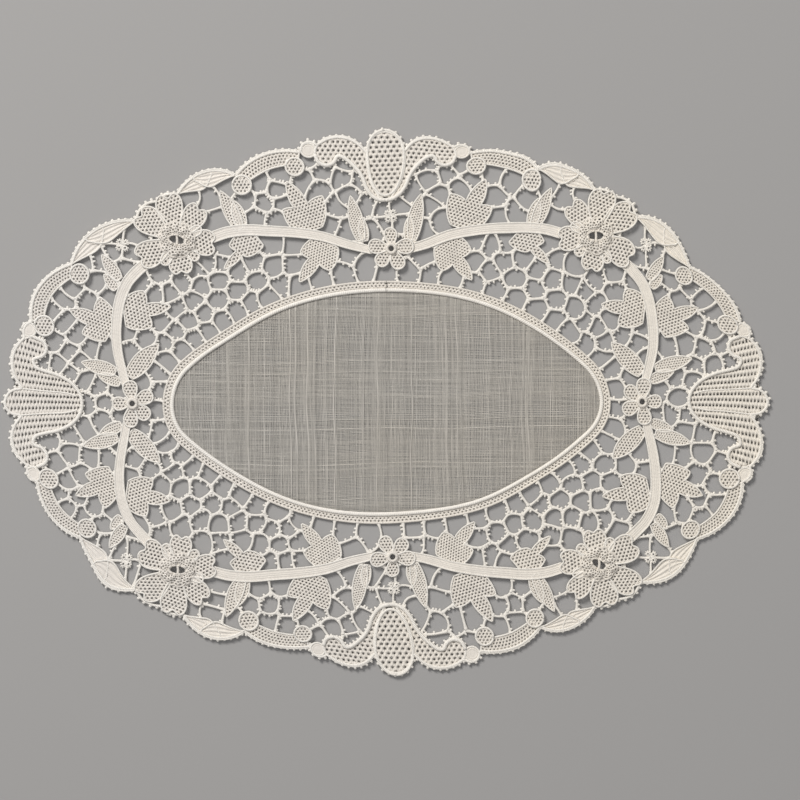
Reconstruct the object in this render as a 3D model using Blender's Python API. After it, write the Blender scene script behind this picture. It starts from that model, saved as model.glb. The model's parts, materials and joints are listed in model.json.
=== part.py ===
"""Oval needle-lace doily, lying flat: a sheer linen centre, a narrow footing band, a deep lace border.

The border is one sheet of lace with a scalloped edge. Four roses stand at its corners, each with a
raised crown of petals sewn on, and four small blossoms stand between them, each with a raised ring.
Frame: +X along the doily, +Y across it, +Z up. The origin is at the middle of the underside.
"""

from math import atan2, ceil, cos, degrees, hypot, pi, sin, sqrt

import bmesh
import bpy

MM = 0.001

# Thicknesses and heights of the pieces.
LACE_THICK = 1.0 * MM
LINEN_THICK = 1.0 * MM
HEM_HEIGHT = 1.6 * MM
FOOTING_THICK = 1.2 * MM
GAP = 0.3 * MM

# The centre, out to the footing band's outer edge: two long arcs joined by a small arc at each end.
CENTRE_HALF_LENGTH = 84.7 * MM
CENTRE_HALF_WIDTH = 46.3 * MM
CENTRE_END_RADIUS = 21.0 * MM
FOOTING_WIDTH = 2.4 * MM
HEM_WIDTH = 1.6 * MM

# The scalloped edge. From the notch beside the tongue, each row names a scallop of the quarter
# towards +X, the notch it ends at, and how far it bulges past the straight line between notches.
TONGUE_NOTCH = (7.2, 95.7)
TONGUE_RISE = 7.4
SHELL_RISE = 6.4
SCALLOPS = [
    # name, end x (mm), end y (mm), rise (mm)
    ("scroll arm", 26.3, 98.6, 4.3),
    ("bead", 32.8, 95.5, 2.6),
    ("long scroll", 56.7, 86.9, 3.3),
    ("dense leaf", 79.3, 80.3, 5.2),
    ("rose lobe", 87.6, 77.3, 1.3),
    ("rose lobe", 95.4, 69.6, 2.3),
    ("dense leaf", 119.5, 53.2, 5.3),
    ("side scroll", 135.4, 31.0, 5.0),
    ("bead", 138.2, 24.8, 1.6),
    ("shell side", 138.8, 5.5, 4.1),
]
EDGE_STEP = 2.4 * MM

# The largest meshes of the net that are cut through, in each quarter.
MESH_ACROSS = 7.4 * MM
LARGE_MESHES = [
    # place, x (mm), y (mm)
    ("between rose and centre", 70.5, 44.5),
    ("beside the shell", 120.5, 19.5),
    ("beside the tongue", 16.8, 85.0),
]

# The pieces sewn on in relief.
ROSE = (79.8 * MM, 62.3 * MM)
CROWN_RADIUS = 6.9 * MM
CROWN_EYE_RADIUS = 1.3 * MM
CROWN_HEIGHT = 3.0 * MM
CROWN_PETALS = 7
CROWN_LOBE_DEPTH = 0.09
BLOSSOMS = [
    # name, x, y
    ("top", 1.6 * MM, 58.5 * MM),
    ("right", 97.0 * MM, 0.0),
    ("bottom", 1.6 * MM, -58.5 * MM),
    ("left", -96.0 * MM, 0.0),
]
RING_RADIUS = 2.0 * MM
RING_WIRE = 1.4 * MM

# The lace was pulled a little out of square as it was worked: both tongues stand towards +X of the
# middle, the lower one by more, and the right side was pulled up as the left was pulled down.
SHIFT_ACROSS = 1.7 * MM
LEAN_ACROSS = 2.1 * MM
PULL_ALONG = 0.7 * MM
HALF_LENGTH = 145.2 * MM
HALF_WIDTH = 103.1 * MM

# Stretches of the border that were drawn in towards the middle, or let out where the depth is below
# nought. The pull fades towards the centre, by this power of the share of the way out.
DRAWN_IN = [
    # bearing of the stretch from the middle (deg), half its span (deg), depth at the edge (mm)
    (23, 15.5, 5.9),
    (58, 7.0, -3.0),
    (75, 12.0, 2.4),
    (200, 19.0, 4.2),
    (214, 7.0, -3.4),
    (249, 20.0, 3.4),
    (311, 15.0, 3.0),
    (335, 12.0, 2.3),
]
DRAWN_IN_POWER = 6


def hand_pull(x, y):
    """A point of the even design, moved to where the finished lace has it."""
    up = y / HALF_WIDTH
    bearing = atan2(y, x)
    inwards = 0
    for middle, half_span, depth in DRAWN_IN:
        off = abs((degrees(bearing) - middle + 180) % 360 - 180) / half_span
        if off < 1:
            inwards += depth * MM * (1 + cos(pi * off)) / 2
    inwards *= hypot(x / HALF_LENGTH, up) ** DRAWN_IN_POWER
    moved_x = x + SHIFT_ACROSS * up**2 - LEAN_ACROSS * up**3 - inwards * cos(bearing)
    moved_y = y + PULL_ALONG * sin(pi * x / HALF_LENGTH) - inwards * sin(bearing)
    return moved_x, moved_y


def scallop(start, end, rise):
    """Points of the arc from start to end, without its start, bulging to the left of its way."""
    chord_x, chord_y = end[0] - start[0], end[1] - start[1]
    chord = hypot(chord_x, chord_y)
    radius = (chord * chord / 4 + rise * rise) / (2 * rise)
    left_x, left_y = -chord_y / chord, chord_x / chord
    centre_x = (start[0] + end[0]) / 2 - left_x * (radius - rise)
    centre_y = (start[1] + end[1]) / 2 - left_y * (radius - rise)
    first = atan2(start[1] - centre_y, start[0] - centre_x)
    last = atan2(end[1] - centre_y, end[0] - centre_x)
    turn = (first - last) % (2 * pi)
    steps = max(3, ceil(radius * turn / EDGE_STEP))
    angles = [first - turn * step / steps for step in range(1, steps + 1)]
    return [(centre_x + radius * cos(a), centre_y + radius * sin(a)) for a in angles]


def edge_outline():
    """The doily's scalloped outline, clockwise from the top tongue."""
    quarter = [(TONGUE_NOTCH[0] * MM, TONGUE_NOTCH[1] * MM)]
    quarter += [(x * MM, y * MM) for _, x, y, _ in SCALLOPS]
    rises = [rise * MM for *_, rise in SCALLOPS]
    corners, bulges = [], []
    for side_x, side_y in ((1, 1), (1, -1), (-1, -1), (-1, 1)):
        towards_shell = side_x * side_y > 0
        notches = quarter if towards_shell else quarter[::-1]
        corners += [(side_x * x, side_y * y) for x, y in notches]
        bulges += rises if towards_shell else rises[::-1]
        bulges.append((SHELL_RISE if towards_shell else TONGUE_RISE) * MM)
    outline = []
    for index, start in enumerate(corners):
        end = corners[(index + 1) % len(corners)]
        outline += scallop(start, end, bulges[index])
    return [hand_pull(x, y) for x, y in outline]


def centre_outline(inset):
    """The centre's outline, taken in by inset: long arcs of one radius, tangent to small end arcs."""
    length = CENTRE_HALF_LENGTH - inset
    width = CENTRE_HALF_WIDTH - inset
    end_radius = CENTRE_END_RADIUS - inset
    reach = length - end_radius
    side_radius = (reach**2 + width**2 - end_radius**2) / (2 * (width - end_radius))
    drop = side_radius - width
    lean = atan2(reach, drop)
    side_steps, end_steps = 22, 10
    quarter = []
    for step in range(side_steps):
        angle = lean * step / side_steps
        quarter.append((side_radius * sin(angle), side_radius * cos(angle) - drop))
    for step in range(end_steps + 1):
        angle = lean + (pi / 2 - lean) * step / end_steps
        quarter.append((reach + end_radius * sin(angle), end_radius * cos(angle)))
    right = quarter + [(x, -y) for x, y in quarter[-2::-1]]
    left = [(-x, y) for x, y in right[-2:0:-1]]
    return [hand_pull(x, y) for x, y in right + left]


def mesh_outline(x, y):
    """One mesh of the net, a hexagon with its flats above and below."""
    corner = MESH_ACROSS / sqrt(3)
    centre_x, centre_y = hand_pull(x, y)
    angles = [pi / 3 * side for side in range(6)]
    return [(centre_x + corner * cos(a), centre_y + corner * sin(a)) for a in angles]


def finish(name, made, material, smooth_angle=0.7):
    """An object of this name from a bmesh, with its faces pointing out."""
    bmesh.ops.recalc_face_normals(made, faces=made.faces)
    mesh = bpy.data.meshes.new(name)
    made.to_mesh(mesh)
    made.free()
    mesh.materials.append(material)
    mesh.shade_smooth()
    mesh.set_sharp_from_angle(angle=smooth_angle)
    thing = bpy.data.objects.new(name, mesh)
    bpy.context.scene.collection.objects.link(thing)
    return thing


def add_prism(made, outline, low, high):
    """Adds an upright prism on this outline to a bmesh."""
    foot = [made.verts.new((x, y, low)) for x, y in outline]
    face = made.faces.new(foot)
    lifted = bmesh.ops.extrude_face_region(made, geom=[face])["geom"]
    corners = [part for part in lifted if isinstance(part, bmesh.types.BMVert)]
    bmesh.ops.translate(made, verts=corners, vec=(0, 0, high - low))


def add_section_ring(made, outlines_and_heights):
    """Adds a closed band: each entry is one line round it, and neighbours are joined by faces."""
    lines = []
    for outline, height in outlines_and_heights:
        lines.append([made.verts.new((x, y, height)) for x, y in outline])
    count = len(lines[0])
    for line, following in zip(lines, lines[1:] + lines[:1]):
        for k in range(count):
            after = (k + 1) % count
            made.faces.new((line[k], line[after], following[after], following[k]))


def material(name, colour, roughness):
    """A plain matt thread material."""
    made = bpy.data.materials.new(name)
    made.use_nodes = True
    shader = made.node_tree.nodes["Principled BSDF"]
    shader.inputs["Base Color"].default_value = (*colour, 1.0)
    shader.inputs["Roughness"].default_value = roughness
    shader.inputs["Metallic"].default_value = 0.0
    return made


def make_lace_border(thread):
    """The border: one sheet of lace round the centre, with its largest meshes cut through."""
    sheet = bmesh.new()
    add_prism(sheet, edge_outline(), 0.0, LACE_THICK)
    border = finish("lace_border", sheet, thread)
    openings = bmesh.new()
    past = 2 * LACE_THICK
    add_prism(openings, centre_outline(-GAP), -past, LACE_THICK + past)
    for _, x, y in LARGE_MESHES:
        for side_x, side_y in ((1, 1), (1, -1), (-1, -1), (-1, 1)):
            outline = mesh_outline(side_x * x * MM, side_y * y * MM)
            add_prism(openings, outline, -past, LACE_THICK + past)
    cutter = finish("border_openings", openings, thread)
    cutter.hide_render = True
    cutter.display_type = "WIRE"
    cut = border.modifiers.new("openings", "BOOLEAN")
    cut.operation = "DIFFERENCE"
    cut.object = cutter
    return border


def make_footing_band(thread):
    """The narrow band of lace that joins the border to the linen."""
    outer, inner = centre_outline(0.0), centre_outline(FOOTING_WIDTH)
    band = bmesh.new()
    section = [(outer, 0.0), (outer, FOOTING_THICK), (inner, FOOTING_THICK), (inner, 0.0)]
    add_section_ring(band, section)
    return finish("footing_band", band, thread)


def make_linen_panel(linen):
    """The linen centre, a flat sheet whose edge is rolled into a round hem."""
    edge = FOOTING_WIDTH + GAP
    rows = [
        # inset from the band's outer edge, height
        (edge + 0.3 * HEM_WIDTH, 0.0),
        (edge, 0.3 * HEM_HEIGHT),
        (edge, 0.7 * HEM_HEIGHT),
        (edge + 0.3 * HEM_WIDTH, HEM_HEIGHT),
        (edge + 0.7 * HEM_WIDTH, HEM_HEIGHT),
        (edge + HEM_WIDTH, LINEN_THICK),
    ]
    panel = bmesh.new()
    lines = []
    for inset, height in rows:
        lines.append([panel.verts.new((x, y, height)) for x, y in centre_outline(inset)])
    count = len(lines[0])
    for line, following in zip(lines, lines[1:]):
        for k in range(count):
            after = (k + 1) % count
            panel.faces.new((line[k], line[after], following[after], following[k]))
    panel.faces.new(lines[0])
    panel.faces.new(lines[-1])
    return finish("linen_panel", panel, linen)


def make_rose_crown(name, x, y, thread):
    """A ring of small raised petals round an open eye, sewn on the middle of a rose."""
    foot = LACE_THICK + GAP
    around = CROWN_PETALS * 5
    section = [
        # share of the way from eye to rim, share of the height
        (0.00, 0.30),
        (0.00, 0.00),
        (0.90, 0.00),
        (1.00, 0.22),
        (0.78, 0.62),
        (0.46, 1.00),
        (0.16, 0.80),
    ]
    centre_x, centre_y = hand_pull(x, y)
    lines = []
    for outward, upward in section:
        line = []
        for k in range(around):
            angle = 2 * pi * k / around
            lobe = 1 + CROWN_LOBE_DEPTH * cos(CROWN_PETALS * angle) * outward
            radius = CROWN_EYE_RADIUS + (CROWN_RADIUS - CROWN_EYE_RADIUS) * outward
            place = (centre_x + radius * lobe * cos(angle), centre_y + radius * lobe * sin(angle))
            line.append(place)
        lines.append((line, foot + CROWN_HEIGHT * upward))
    crown = bmesh.new()
    add_section_ring(crown, lines)
    return finish(name, crown, thread)


def make_blossom_ring(name, x, y, thread):
    """The small worked ring sewn on the middle of a blossom."""
    around, across = 20, 6
    centre_x, centre_y = hand_pull(x, y)
    middle = LACE_THICK + GAP + RING_WIRE / 2
    lines = []
    for j in range(across):
        tilt = 2 * pi * j / across
        radius = RING_RADIUS + RING_WIRE / 2 * cos(tilt)
        angles = [2 * pi * k / around for k in range(around)]
        line = [(centre_x + radius * cos(a), centre_y + radius * sin(a)) for a in angles]
        lines.append((line, middle + RING_WIRE / 2 * sin(tilt)))
    ring = bmesh.new()
    add_section_ring(ring, lines)
    return finish(name, ring, thread)


def main():
    for thing in list(bpy.data.objects):
        bpy.data.objects.remove(thing)
    thread = material("lace_thread", (0.86, 0.82, 0.73), 0.8)
    linen = material("linen_cloth", (0.74, 0.72, 0.66), 0.85)
    make_lace_border(thread)
    make_footing_band(thread)
    make_linen_panel(linen)
    rose_x, rose_y = ROSE
    corners = {
        "upper_right": (rose_x, rose_y),
        "lower_right": (rose_x, -rose_y),
        "lower_left": (-rose_x, -rose_y),
        "upper_left": (-rose_x, rose_y),
    }
    for corner, (x, y) in corners.items():
        make_rose_crown(f"rose_crown_{corner}", x, y, thread)
    for name, x, y in BLOSSOMS:
        make_blossom_ring(f"blossom_ring_{name}", x, y, thread)


main()
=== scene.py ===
# %% [markdown]
# # An oval doily of needle lace
#
# The doily is a sheer linen oval set in a deep border of needle lace. A lace maker builds such a border
# from a few kinds of work: *toile*, the close fabric with rows of pinholes that fills petals, leaves and
# scrolls; *cordonnet*, the raised cord that outlines them; smooth cloth-stitch tapes for the stems; a
# net of fine bars with little picots that holds everything together; and petals worked apart and sewn
# on in relief. This lesson makes each kind once, as a surface worked out with numpy, and then sets it
# out over the whole doily.
#
# All tables are in millimetres on the even, mirrored design. The finished lace is a little out of
# square, so every point goes through one last function that pulls it and turns it into metres.

# %% Load the frame
import json

import bpy
import numpy as np
from mathutils.geometry import delaunay_2d_cdt
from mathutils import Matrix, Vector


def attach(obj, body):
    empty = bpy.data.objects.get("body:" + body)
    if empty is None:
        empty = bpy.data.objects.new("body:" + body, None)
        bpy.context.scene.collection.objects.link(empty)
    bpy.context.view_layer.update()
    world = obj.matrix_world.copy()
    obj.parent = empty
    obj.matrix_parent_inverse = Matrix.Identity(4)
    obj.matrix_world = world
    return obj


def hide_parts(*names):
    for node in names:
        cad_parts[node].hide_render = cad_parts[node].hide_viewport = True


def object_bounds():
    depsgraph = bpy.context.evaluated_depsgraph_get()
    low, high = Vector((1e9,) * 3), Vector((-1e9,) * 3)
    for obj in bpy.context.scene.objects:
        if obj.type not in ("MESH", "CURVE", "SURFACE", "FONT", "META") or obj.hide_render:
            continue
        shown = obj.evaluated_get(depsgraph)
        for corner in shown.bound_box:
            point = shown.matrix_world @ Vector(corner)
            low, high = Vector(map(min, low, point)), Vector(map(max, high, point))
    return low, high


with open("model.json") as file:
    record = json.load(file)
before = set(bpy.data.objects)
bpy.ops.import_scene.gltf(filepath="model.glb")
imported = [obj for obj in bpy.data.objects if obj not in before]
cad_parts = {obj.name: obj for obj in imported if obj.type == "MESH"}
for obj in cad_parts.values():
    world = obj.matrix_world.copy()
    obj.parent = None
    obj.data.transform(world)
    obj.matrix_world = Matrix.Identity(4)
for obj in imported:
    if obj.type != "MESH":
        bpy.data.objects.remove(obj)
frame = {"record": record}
cad_box = [list(corner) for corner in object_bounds()]
print("CAD box (m):", np.round(cad_box, 4).tolist())

# %% [markdown]
# ## The hand of the maker
#
# No handmade lace is quite even. The CAD model leans both tongues a little and draws some stretches of
# the border in, and lets two out, by a few millimetres, most at the edge and hardly at all near the
# centre. Here a slow wave of a few tenths of a millimetre is added, so that no two quarters are alike.
# The wave is a sum of three sines in the plane, which keeps neighbouring cords together instead of
# tearing them apart.
#
# The eight stretches in DRAWN_IN weren't chosen by eye. A least-squares fit to the outline of the real
# doily gave them, then they were rounded and two of them eased.

# %% Sizes, and the way from the design to the finished lace
DESIGN_LENGTH = 290.4
HALF_LENGTH = 145.2
HALF_WIDTH = 103.1
SHIFT_ACROSS = 1.7
LEAN_ACROSS = 2.1
PULL_ALONG = 0.7
DRAWN_IN = [
    # bearing from the middle (deg), half span (deg), depth at the edge (mm), let out where below 0
    (23, 15.5, 5.9),
    (58, 7.0, -3.0),
    (75, 12.0, 2.4),
    (200, 19.0, 4.2),
    (214, 7.0, -3.4),
    (249, 20.0, 3.4),
    (311, 15.0, 3.0),
    (335, 12.0, 2.3),
]
DRAWN_IN_POWER = 6
WAVES = [
    # length (mm), heading (rad), size (mm)
    (61.0, 0.4, 0.30),
    (43.0, 2.1, 0.22),
    (27.0, 1.2, 0.12),
]
to_metres = (cad_box[1][0] - cad_box[0][0]) / DESIGN_LENGTH
random = np.random.default_rng(7)


def pulled(x, y):
    """Design x, y as finished: x + a (y/w)^2 - b (y/w)^3, y + c sin(pi x/l), drawn in, plus waves.

    Each stretch is drawn in by depth (1 + cos(pi off)) / 2 times the share of the way out to the 6th.
    """
    up = y / HALF_WIDTH
    bearing = np.arctan2(y, x)
    inwards = 0
    for middle, half_span, depth in DRAWN_IN:
        off = np.abs((np.degrees(bearing) - middle + 180) % 360 - 180) / half_span
        inwards = inwards + depth * (1 + np.cos(np.pi * np.minimum(off, 1))) / 2
    inwards = inwards * np.hypot(x / HALF_LENGTH, up) ** DRAWN_IN_POWER
    moved_x = x + SHIFT_ACROSS * up**2 - LEAN_ACROSS * up**3 - inwards * np.cos(bearing)
    moved_y = y + PULL_ALONG * np.sin(np.pi * x / HALF_LENGTH) - inwards * np.sin(bearing)
    for length, heading, size in WAVES:
        phase = 2 * np.pi * (x * np.cos(heading) + y * np.sin(heading)) / length
        moved_x = moved_x + size * np.sin(phase + heading)
        moved_y = moved_y + size * np.cos(phase + 2 * heading)
    return moved_x, moved_y


def lift(x, y):
    """How far the lace stands off the table, a slow swell from 0 to 0.5 mm."""
    return 0.25 + 0.15 * np.sin(x / 17 + y / 31) + 0.1 * np.cos(y / 13 - x / 41)


# %% [markdown]
# ## One way to make every mesh
#
# Each maker below returns a *part*: points in millimetres, a list of face arrays, and two numbers a
# point that say where it lies along and across its thread. `piece` joins parts into one object in a few
# whole-array calls, which is much faster than adding vertices one by one. The two numbers become a UV
# map called `lay`, so that the stitches of a cord follow the cord.

# %% Parts and pieces
def piece(name, parts, material):
    """Joins parts into one object at the origin, in metres."""
    points = np.concatenate([part[0] for part in parts])
    lay = np.concatenate([part[2] for part in parts])
    starts = np.cumsum([0] + [len(part[0]) for part in parts])
    arrays = [faces + start for part, start in zip(parts, starts) for faces in part[1]]
    loops = np.concatenate([faces.ravel() for faces in arrays]).astype(np.int32)
    sizes = np.concatenate([np.full(len(faces), faces.shape[1]) for faces in arrays])
    x, y = pulled(points[:, 0], points[:, 1])
    z = points[:, 2] + lift(points[:, 0], points[:, 1])
    mesh = bpy.data.meshes.new(name)
    mesh.vertices.add(len(points))
    mesh.vertices.foreach_set("co", (np.stack([x, y, z], axis=1) * to_metres).ravel())
    mesh.loops.add(len(loops))
    mesh.loops.foreach_set("vertex_index", loops)
    mesh.polygons.add(len(sizes))
    mesh.polygons.foreach_set("loop_start", np.concatenate([[0], np.cumsum(sizes)[:-1]]))
    mesh.update(calc_edges=True)
    uv = mesh.uv_layers.new(name="lay")
    uv.data.foreach_set("uv", lay[loops].ravel())
    mesh.validate()
    mesh.shade_smooth()
    mesh.materials.append(material)
    made = bpy.data.objects.new(name, mesh)
    bpy.context.scene.collection.objects.link(made)
    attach(made, "root")
    print(f"{name}: {len(points)} points, {int((sizes - 2).sum())} triangles")
    return made


def mirrored(part, side_x, side_y):
    """The part in another quarter, its faces turned round if one axis alone is mirrored."""
    points, faces, lay = part
    points = points * [side_x, side_y, 1]
    if side_x * side_y < 0:
        faces = [f[:, ::-1] for f in faces]
    return points, faces, lay


QUARTERS = [(1, 1), (1, -1), (-1, -1), (-1, 1)]
ENDS = [(1, 1), (-1, 1)]
SIDES = [(1, 1), (1, -1)]


# %% [markdown]
# ## Lines
#
# Every outline starts as a few points that the shape needs. Between them run either smooth curves
# (Catmull-Rom: a cubic through each point, with the slope of its neighbours) or circle arcs with a
# given rise. Then the line is cut into even steps, because a cord carried along uneven steps would
# show flat stretches.

# %% Curves, arcs and even steps
def even(line, step, closed=False):
    """The line again, with points at equal distances along it."""
    line = np.asarray(line, float)
    if closed:
        line = np.concatenate([line, line[:1]])
    along = np.concatenate([[0], np.cumsum(np.linalg.norm(np.diff(line, axis=0), axis=1))])
    count = max(int(round(along[-1] / step)), 3)
    at = np.linspace(0, along[-1], count + 1)
    if closed:
        at = at[:-1]
    return np.stack([np.interp(at, along, line[:, k]) for k in range(line.shape[1])], axis=1)


def smooth(points, step=0.7, closed=False):
    """h + t(a-b)/2 + t^2(2b-5h+4a-c)/2 + t^3(3h-b-3a+c)/2 from each point h to the next, a."""
    p = np.asarray(points, float)
    if closed:
        b, h, a, c = np.roll(p, 1, axis=0), p, np.roll(p, -1, axis=0), np.roll(p, -2, axis=0)
    else:
        whole = np.concatenate([[2 * p[0] - p[1]], p, [2 * p[-1] - p[-2]]])
        b, h, a, c = whole[:-3], whole[1:-2], whole[2:-1], whole[3:]
    t = np.linspace(0, 1, 16, endpoint=False)[None, :, None]
    b, h, a, c = (q[:, None, :] for q in (b, h, a, c))
    cubic = (2 * b - 5 * h + 4 * a - c) * t**2 + (3 * h - b - 3 * a + c) * t**3
    fine = (h + ((a - b) * t + cubic) / 2).reshape(-1, p.shape[1])
    if not closed:
        fine = np.concatenate([fine, p[-1:]])
    return even(fine, step, closed)


def arc(start, end, rise, step=0.7):
    """Points from start up to, not with, end, on the circle that bulges by rise to the left."""
    start, end = np.asarray(start, float), np.asarray(end, float)
    chord = np.linalg.norm(end - start)
    rise = rise if abs(rise) > 0.01 else 0.01
    radius = (chord**2 / 4 + rise**2) / (2 * rise)
    left = np.array([start[1] - end[1], end[0] - start[0]]) / chord
    centre = (start + end) / 2 - left * (radius - rise)
    first, last = (np.arctan2(*(p - centre)[::-1]) for p in (start, end))
    turn = (first - last) % (2 * np.pi) if rise > 0 else -((last - first) % (2 * np.pi))
    steps = max(2, int(np.ceil(abs(radius * turn) / step)))
    angles = first - turn * np.arange(steps) / steps
    return centre + abs(radius) * np.stack([np.cos(angles), np.sin(angles)], axis=1)


def arcs(rows, step=0.7):
    """A closed outline of arcs: each row is a corner and the rise of the arc that leaves it."""
    corners = [row[:2] for row in rows]
    runs = [arc(a, b, row[2], step) for a, b, row in zip(corners, corners[1:] + corners[:1], rows)]
    return np.concatenate(runs)


def sideways(line, closed=False):
    """The unit normal to the left of each point of a line in the plane."""
    if closed:
        ahead = np.roll(line, -1, axis=0)[:, :2] - np.roll(line, 1, axis=0)[:, :2]
    else:
        ahead = np.gradient(line[:, :2], axis=0)
    ahead /= np.linalg.norm(ahead, axis=1, keepdims=True) + 1e-9
    return np.stack([-ahead[:, 1], ahead[:, 0]], axis=1)


# %% [markdown]
# ## Cord
#
# The cordonnet is a bundle of threads whipped over with buttonhole stitches. It is a round profile
# carried along a line: centre + radius (cos a, sin a) in the plane that stands across the line. Six to
# ten sides are enough, because smooth shading rounds them off.

# %% The cord maker
def cord(line, radius, height, closed=False, sides=6, flat=0.85):
    """line + r cos(a) sideways + r flat sin(a) up, for a round the cord."""
    count = len(line)
    normal = sideways(line, closed)
    radius = np.broadcast_to(radius, count)[:, None]
    angle = 2 * np.pi * np.arange(sides) / sides
    out = radius * np.cos(angle)
    up = radius * np.sin(angle) * flat + np.broadcast_to(height, count)[:, None]
    x = line[:, :1] + normal[:, :1] * out
    y = line[:, 1:2] + normal[:, 1:] * out
    points = np.stack([x, y, up], axis=2).reshape(-1, 3)
    step = np.linalg.norm(np.diff(line[:, :2], axis=0), axis=1)
    along = np.concatenate([[0], np.cumsum(step)])
    lay = np.stack([np.repeat(along, sides), np.tile(angle, count)], axis=1)
    ring = np.arange(count if closed else count - 1)[:, None] * sides
    following = (ring + sides) % (count * sides)
    k = np.arange(sides)[None, :]
    after = (k + 1) % sides
    quads = np.stack([ring + k, ring + after, following + after, following + k], axis=2)
    faces = [quads.reshape(-1, 4)]
    if not closed:
        faces.append(np.arange(sides)[None, ::-1])
        faces.append(np.arange(sides)[None, :] + (count - 1) * sides)
    return points, faces, lay


# %% [markdown]
# ## Toile
#
# The filling of a petal or leaf is one fabric with staggered pinholes. Each stitch group is a hexagonal
# cell with a hole in its middle, and cells share their corners, as a honeycomb does. The corners stand
# proud and the rim of the hole lies at mid height, above and below, so each bar between two holes is
# round like a thread. Corners that fall past the outline are brought back to the nearest point of it,
# where the cord covers them. One function serves every motif; a *place* function can bend the flat
# pattern along a band.

# %% The toile maker
def inside(points, outline):
    """True where a level ray from the point crosses the outline an odd number of times."""
    x, y = points[:, :1], points[:, 1:2]
    ax, ay = outline.T
    bx, by = np.roll(outline, -1, axis=0).T
    slope = (bx - ax) / np.where(by == ay, 1e-9, by - ay)
    crossed = ((ay > y) != (by > y)) & (x < ax + (y - ay) * slope)
    return crossed.sum(axis=1) % 2 == 1


def nearest(points, outline):
    """The nearest point of the outline to each point, and its distance."""
    edge = np.roll(outline, -1, axis=0) - outline
    reach = points[:, None, :] - outline
    share = np.clip((reach * edge).sum(-1) / ((edge**2).sum(-1) + 1e-12), 0, 1)
    away = np.linalg.norm(reach - share[..., None] * edge, axis=-1)
    best = away.argmin(axis=1)
    rows = np.arange(len(points))
    return outline[best] + share[rows, best, None] * edge[best], away[rows, best]


def welded(points, triangles, lay, within=0.01):
    """Points this close made one, and the triangles that collapse dropped."""
    _, first, index = np.unique(
        np.round(points / within).astype(np.int64), axis=0, return_index=True, return_inverse=True
    )
    triangles = index.reshape(-1)[triangles]
    a, b, c = triangles.T
    whole = (a != b) & (b != c) & (c != a)
    return points[first], triangles[whole], lay[first]


def toile(outline, pitch, row, hole, turn=0.0, height=0.6, thick=0.26, place=None, grade=None, low=1.0):
    """Hexagonal cells at ((i + j/2) pitch, j row), turned, each with a hole, held inside the outline.

    A hole is a hexagon of its own, low times as high as wide. grade(x, y) scales it from place to place.
    """
    spin = np.array([[np.cos(turn), np.sin(turn)], [-np.sin(turn), np.cos(turn)]])
    edge = outline @ spin.T
    least, most = edge.min(axis=0) - pitch, edge.max(axis=0) + pitch
    rows = np.arange(np.floor(least[1] / row), np.ceil(most[1] / row) + 1)
    columns = np.arange(np.floor(least[0] / pitch), np.ceil(most[0] / pitch) + 1)
    i, j = (axis.ravel() for axis in np.meshgrid(columns, rows))
    centres = np.stack([(i + 0.5 * (j % 2)) * pitch, j * row], axis=1)
    half, low_corner, high_corner = pitch / 2, row / 3, row * 2 / 3
    corner = np.array([(half, -low_corner), (half, low_corner), (0, high_corner),
                       (-half, low_corner), (-half, -low_corner), (0, -high_corner)])
    within = inside((centres[:, None, :] + corner).reshape(-1, 2), edge).reshape(-1, 6)
    centres = centres[within.any(axis=1)]
    bearing = np.radians([-30, 30, 90, 150, 210, 270])
    size = hole / 2 * random.uniform(0.75, 1.2, (len(centres), 1, 1))
    if grade is not None:
        size = size * grade(centres @ spin)[:, None, None]
    ring = np.stack([np.cos(bearing), low * np.sin(bearing)], axis=1) * size
    shift = random.normal(0, 0.04 * pitch, (len(centres), 1, 2))
    outer = (centres[:, None, :] + corner).reshape(-1, 2)
    rim = (centres[:, None, :] + ring + shift).reshape(-1, 2)
    flat = np.concatenate([outer, outer, rim])
    rise = np.concatenate([np.full(len(outer), thick), np.full(len(outer), -thick), np.zeros(len(rim))])
    past = ~inside(flat, edge)
    flat[past] = nearest(flat[past], edge)[0]
    rise[past] = 0
    n = len(outer)
    k = np.arange(n)
    after = k - k % 6 + (k + 1) % 6
    top = np.stack([k, after, after + 2 * n, k + 2 * n], axis=1)
    bottom = np.stack([k + 2 * n, after + 2 * n, after + n, k + n], axis=1)
    quads = np.concatenate([top, bottom])
    triangles = np.concatenate([quads[:, [0, 1, 2]], quads[:, [0, 2, 3]]])
    points = np.concatenate([flat @ spin, (height + rise)[:, None]], axis=1)
    points, triangles, lay = welded(points, triangles, flat)
    if place is not None:
        points = place(points)
    return points, [triangles], lay


def along(line, closed=False):
    """A place function: u mm along the line and v mm to its left, from the line's own lengths."""
    whole = np.concatenate([line, line[:1]]) if closed else line
    normal = sideways(line, closed)
    normal = np.concatenate([normal, normal[:1]]) if closed else normal
    reach = np.concatenate([[0], np.cumsum(np.linalg.norm(np.diff(whole, axis=0), axis=1))])

    def place(points):
        u, v = points[:, 0], points[:, 1]
        x = np.interp(u, reach, whole[:, 0]) + v * np.interp(u, reach, normal[:, 0])
        y = np.interp(u, reach, whole[:, 1]) + v * np.interp(u, reach, normal[:, 1])
        return np.stack([x, y, points[:, 2]], axis=1)

    return place, reach[-1]


# %% [markdown]
# ## Cloth-stitch tape
#
# The stems and the close leaves have no pinholes. They are worked so tight that only a few lengthwise
# ridges show. Their profile is a flat bar with a cosine ridge for each line of stitches, carried along
# the middle line; on a leaf the width swells and shrinks on the way.

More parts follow.
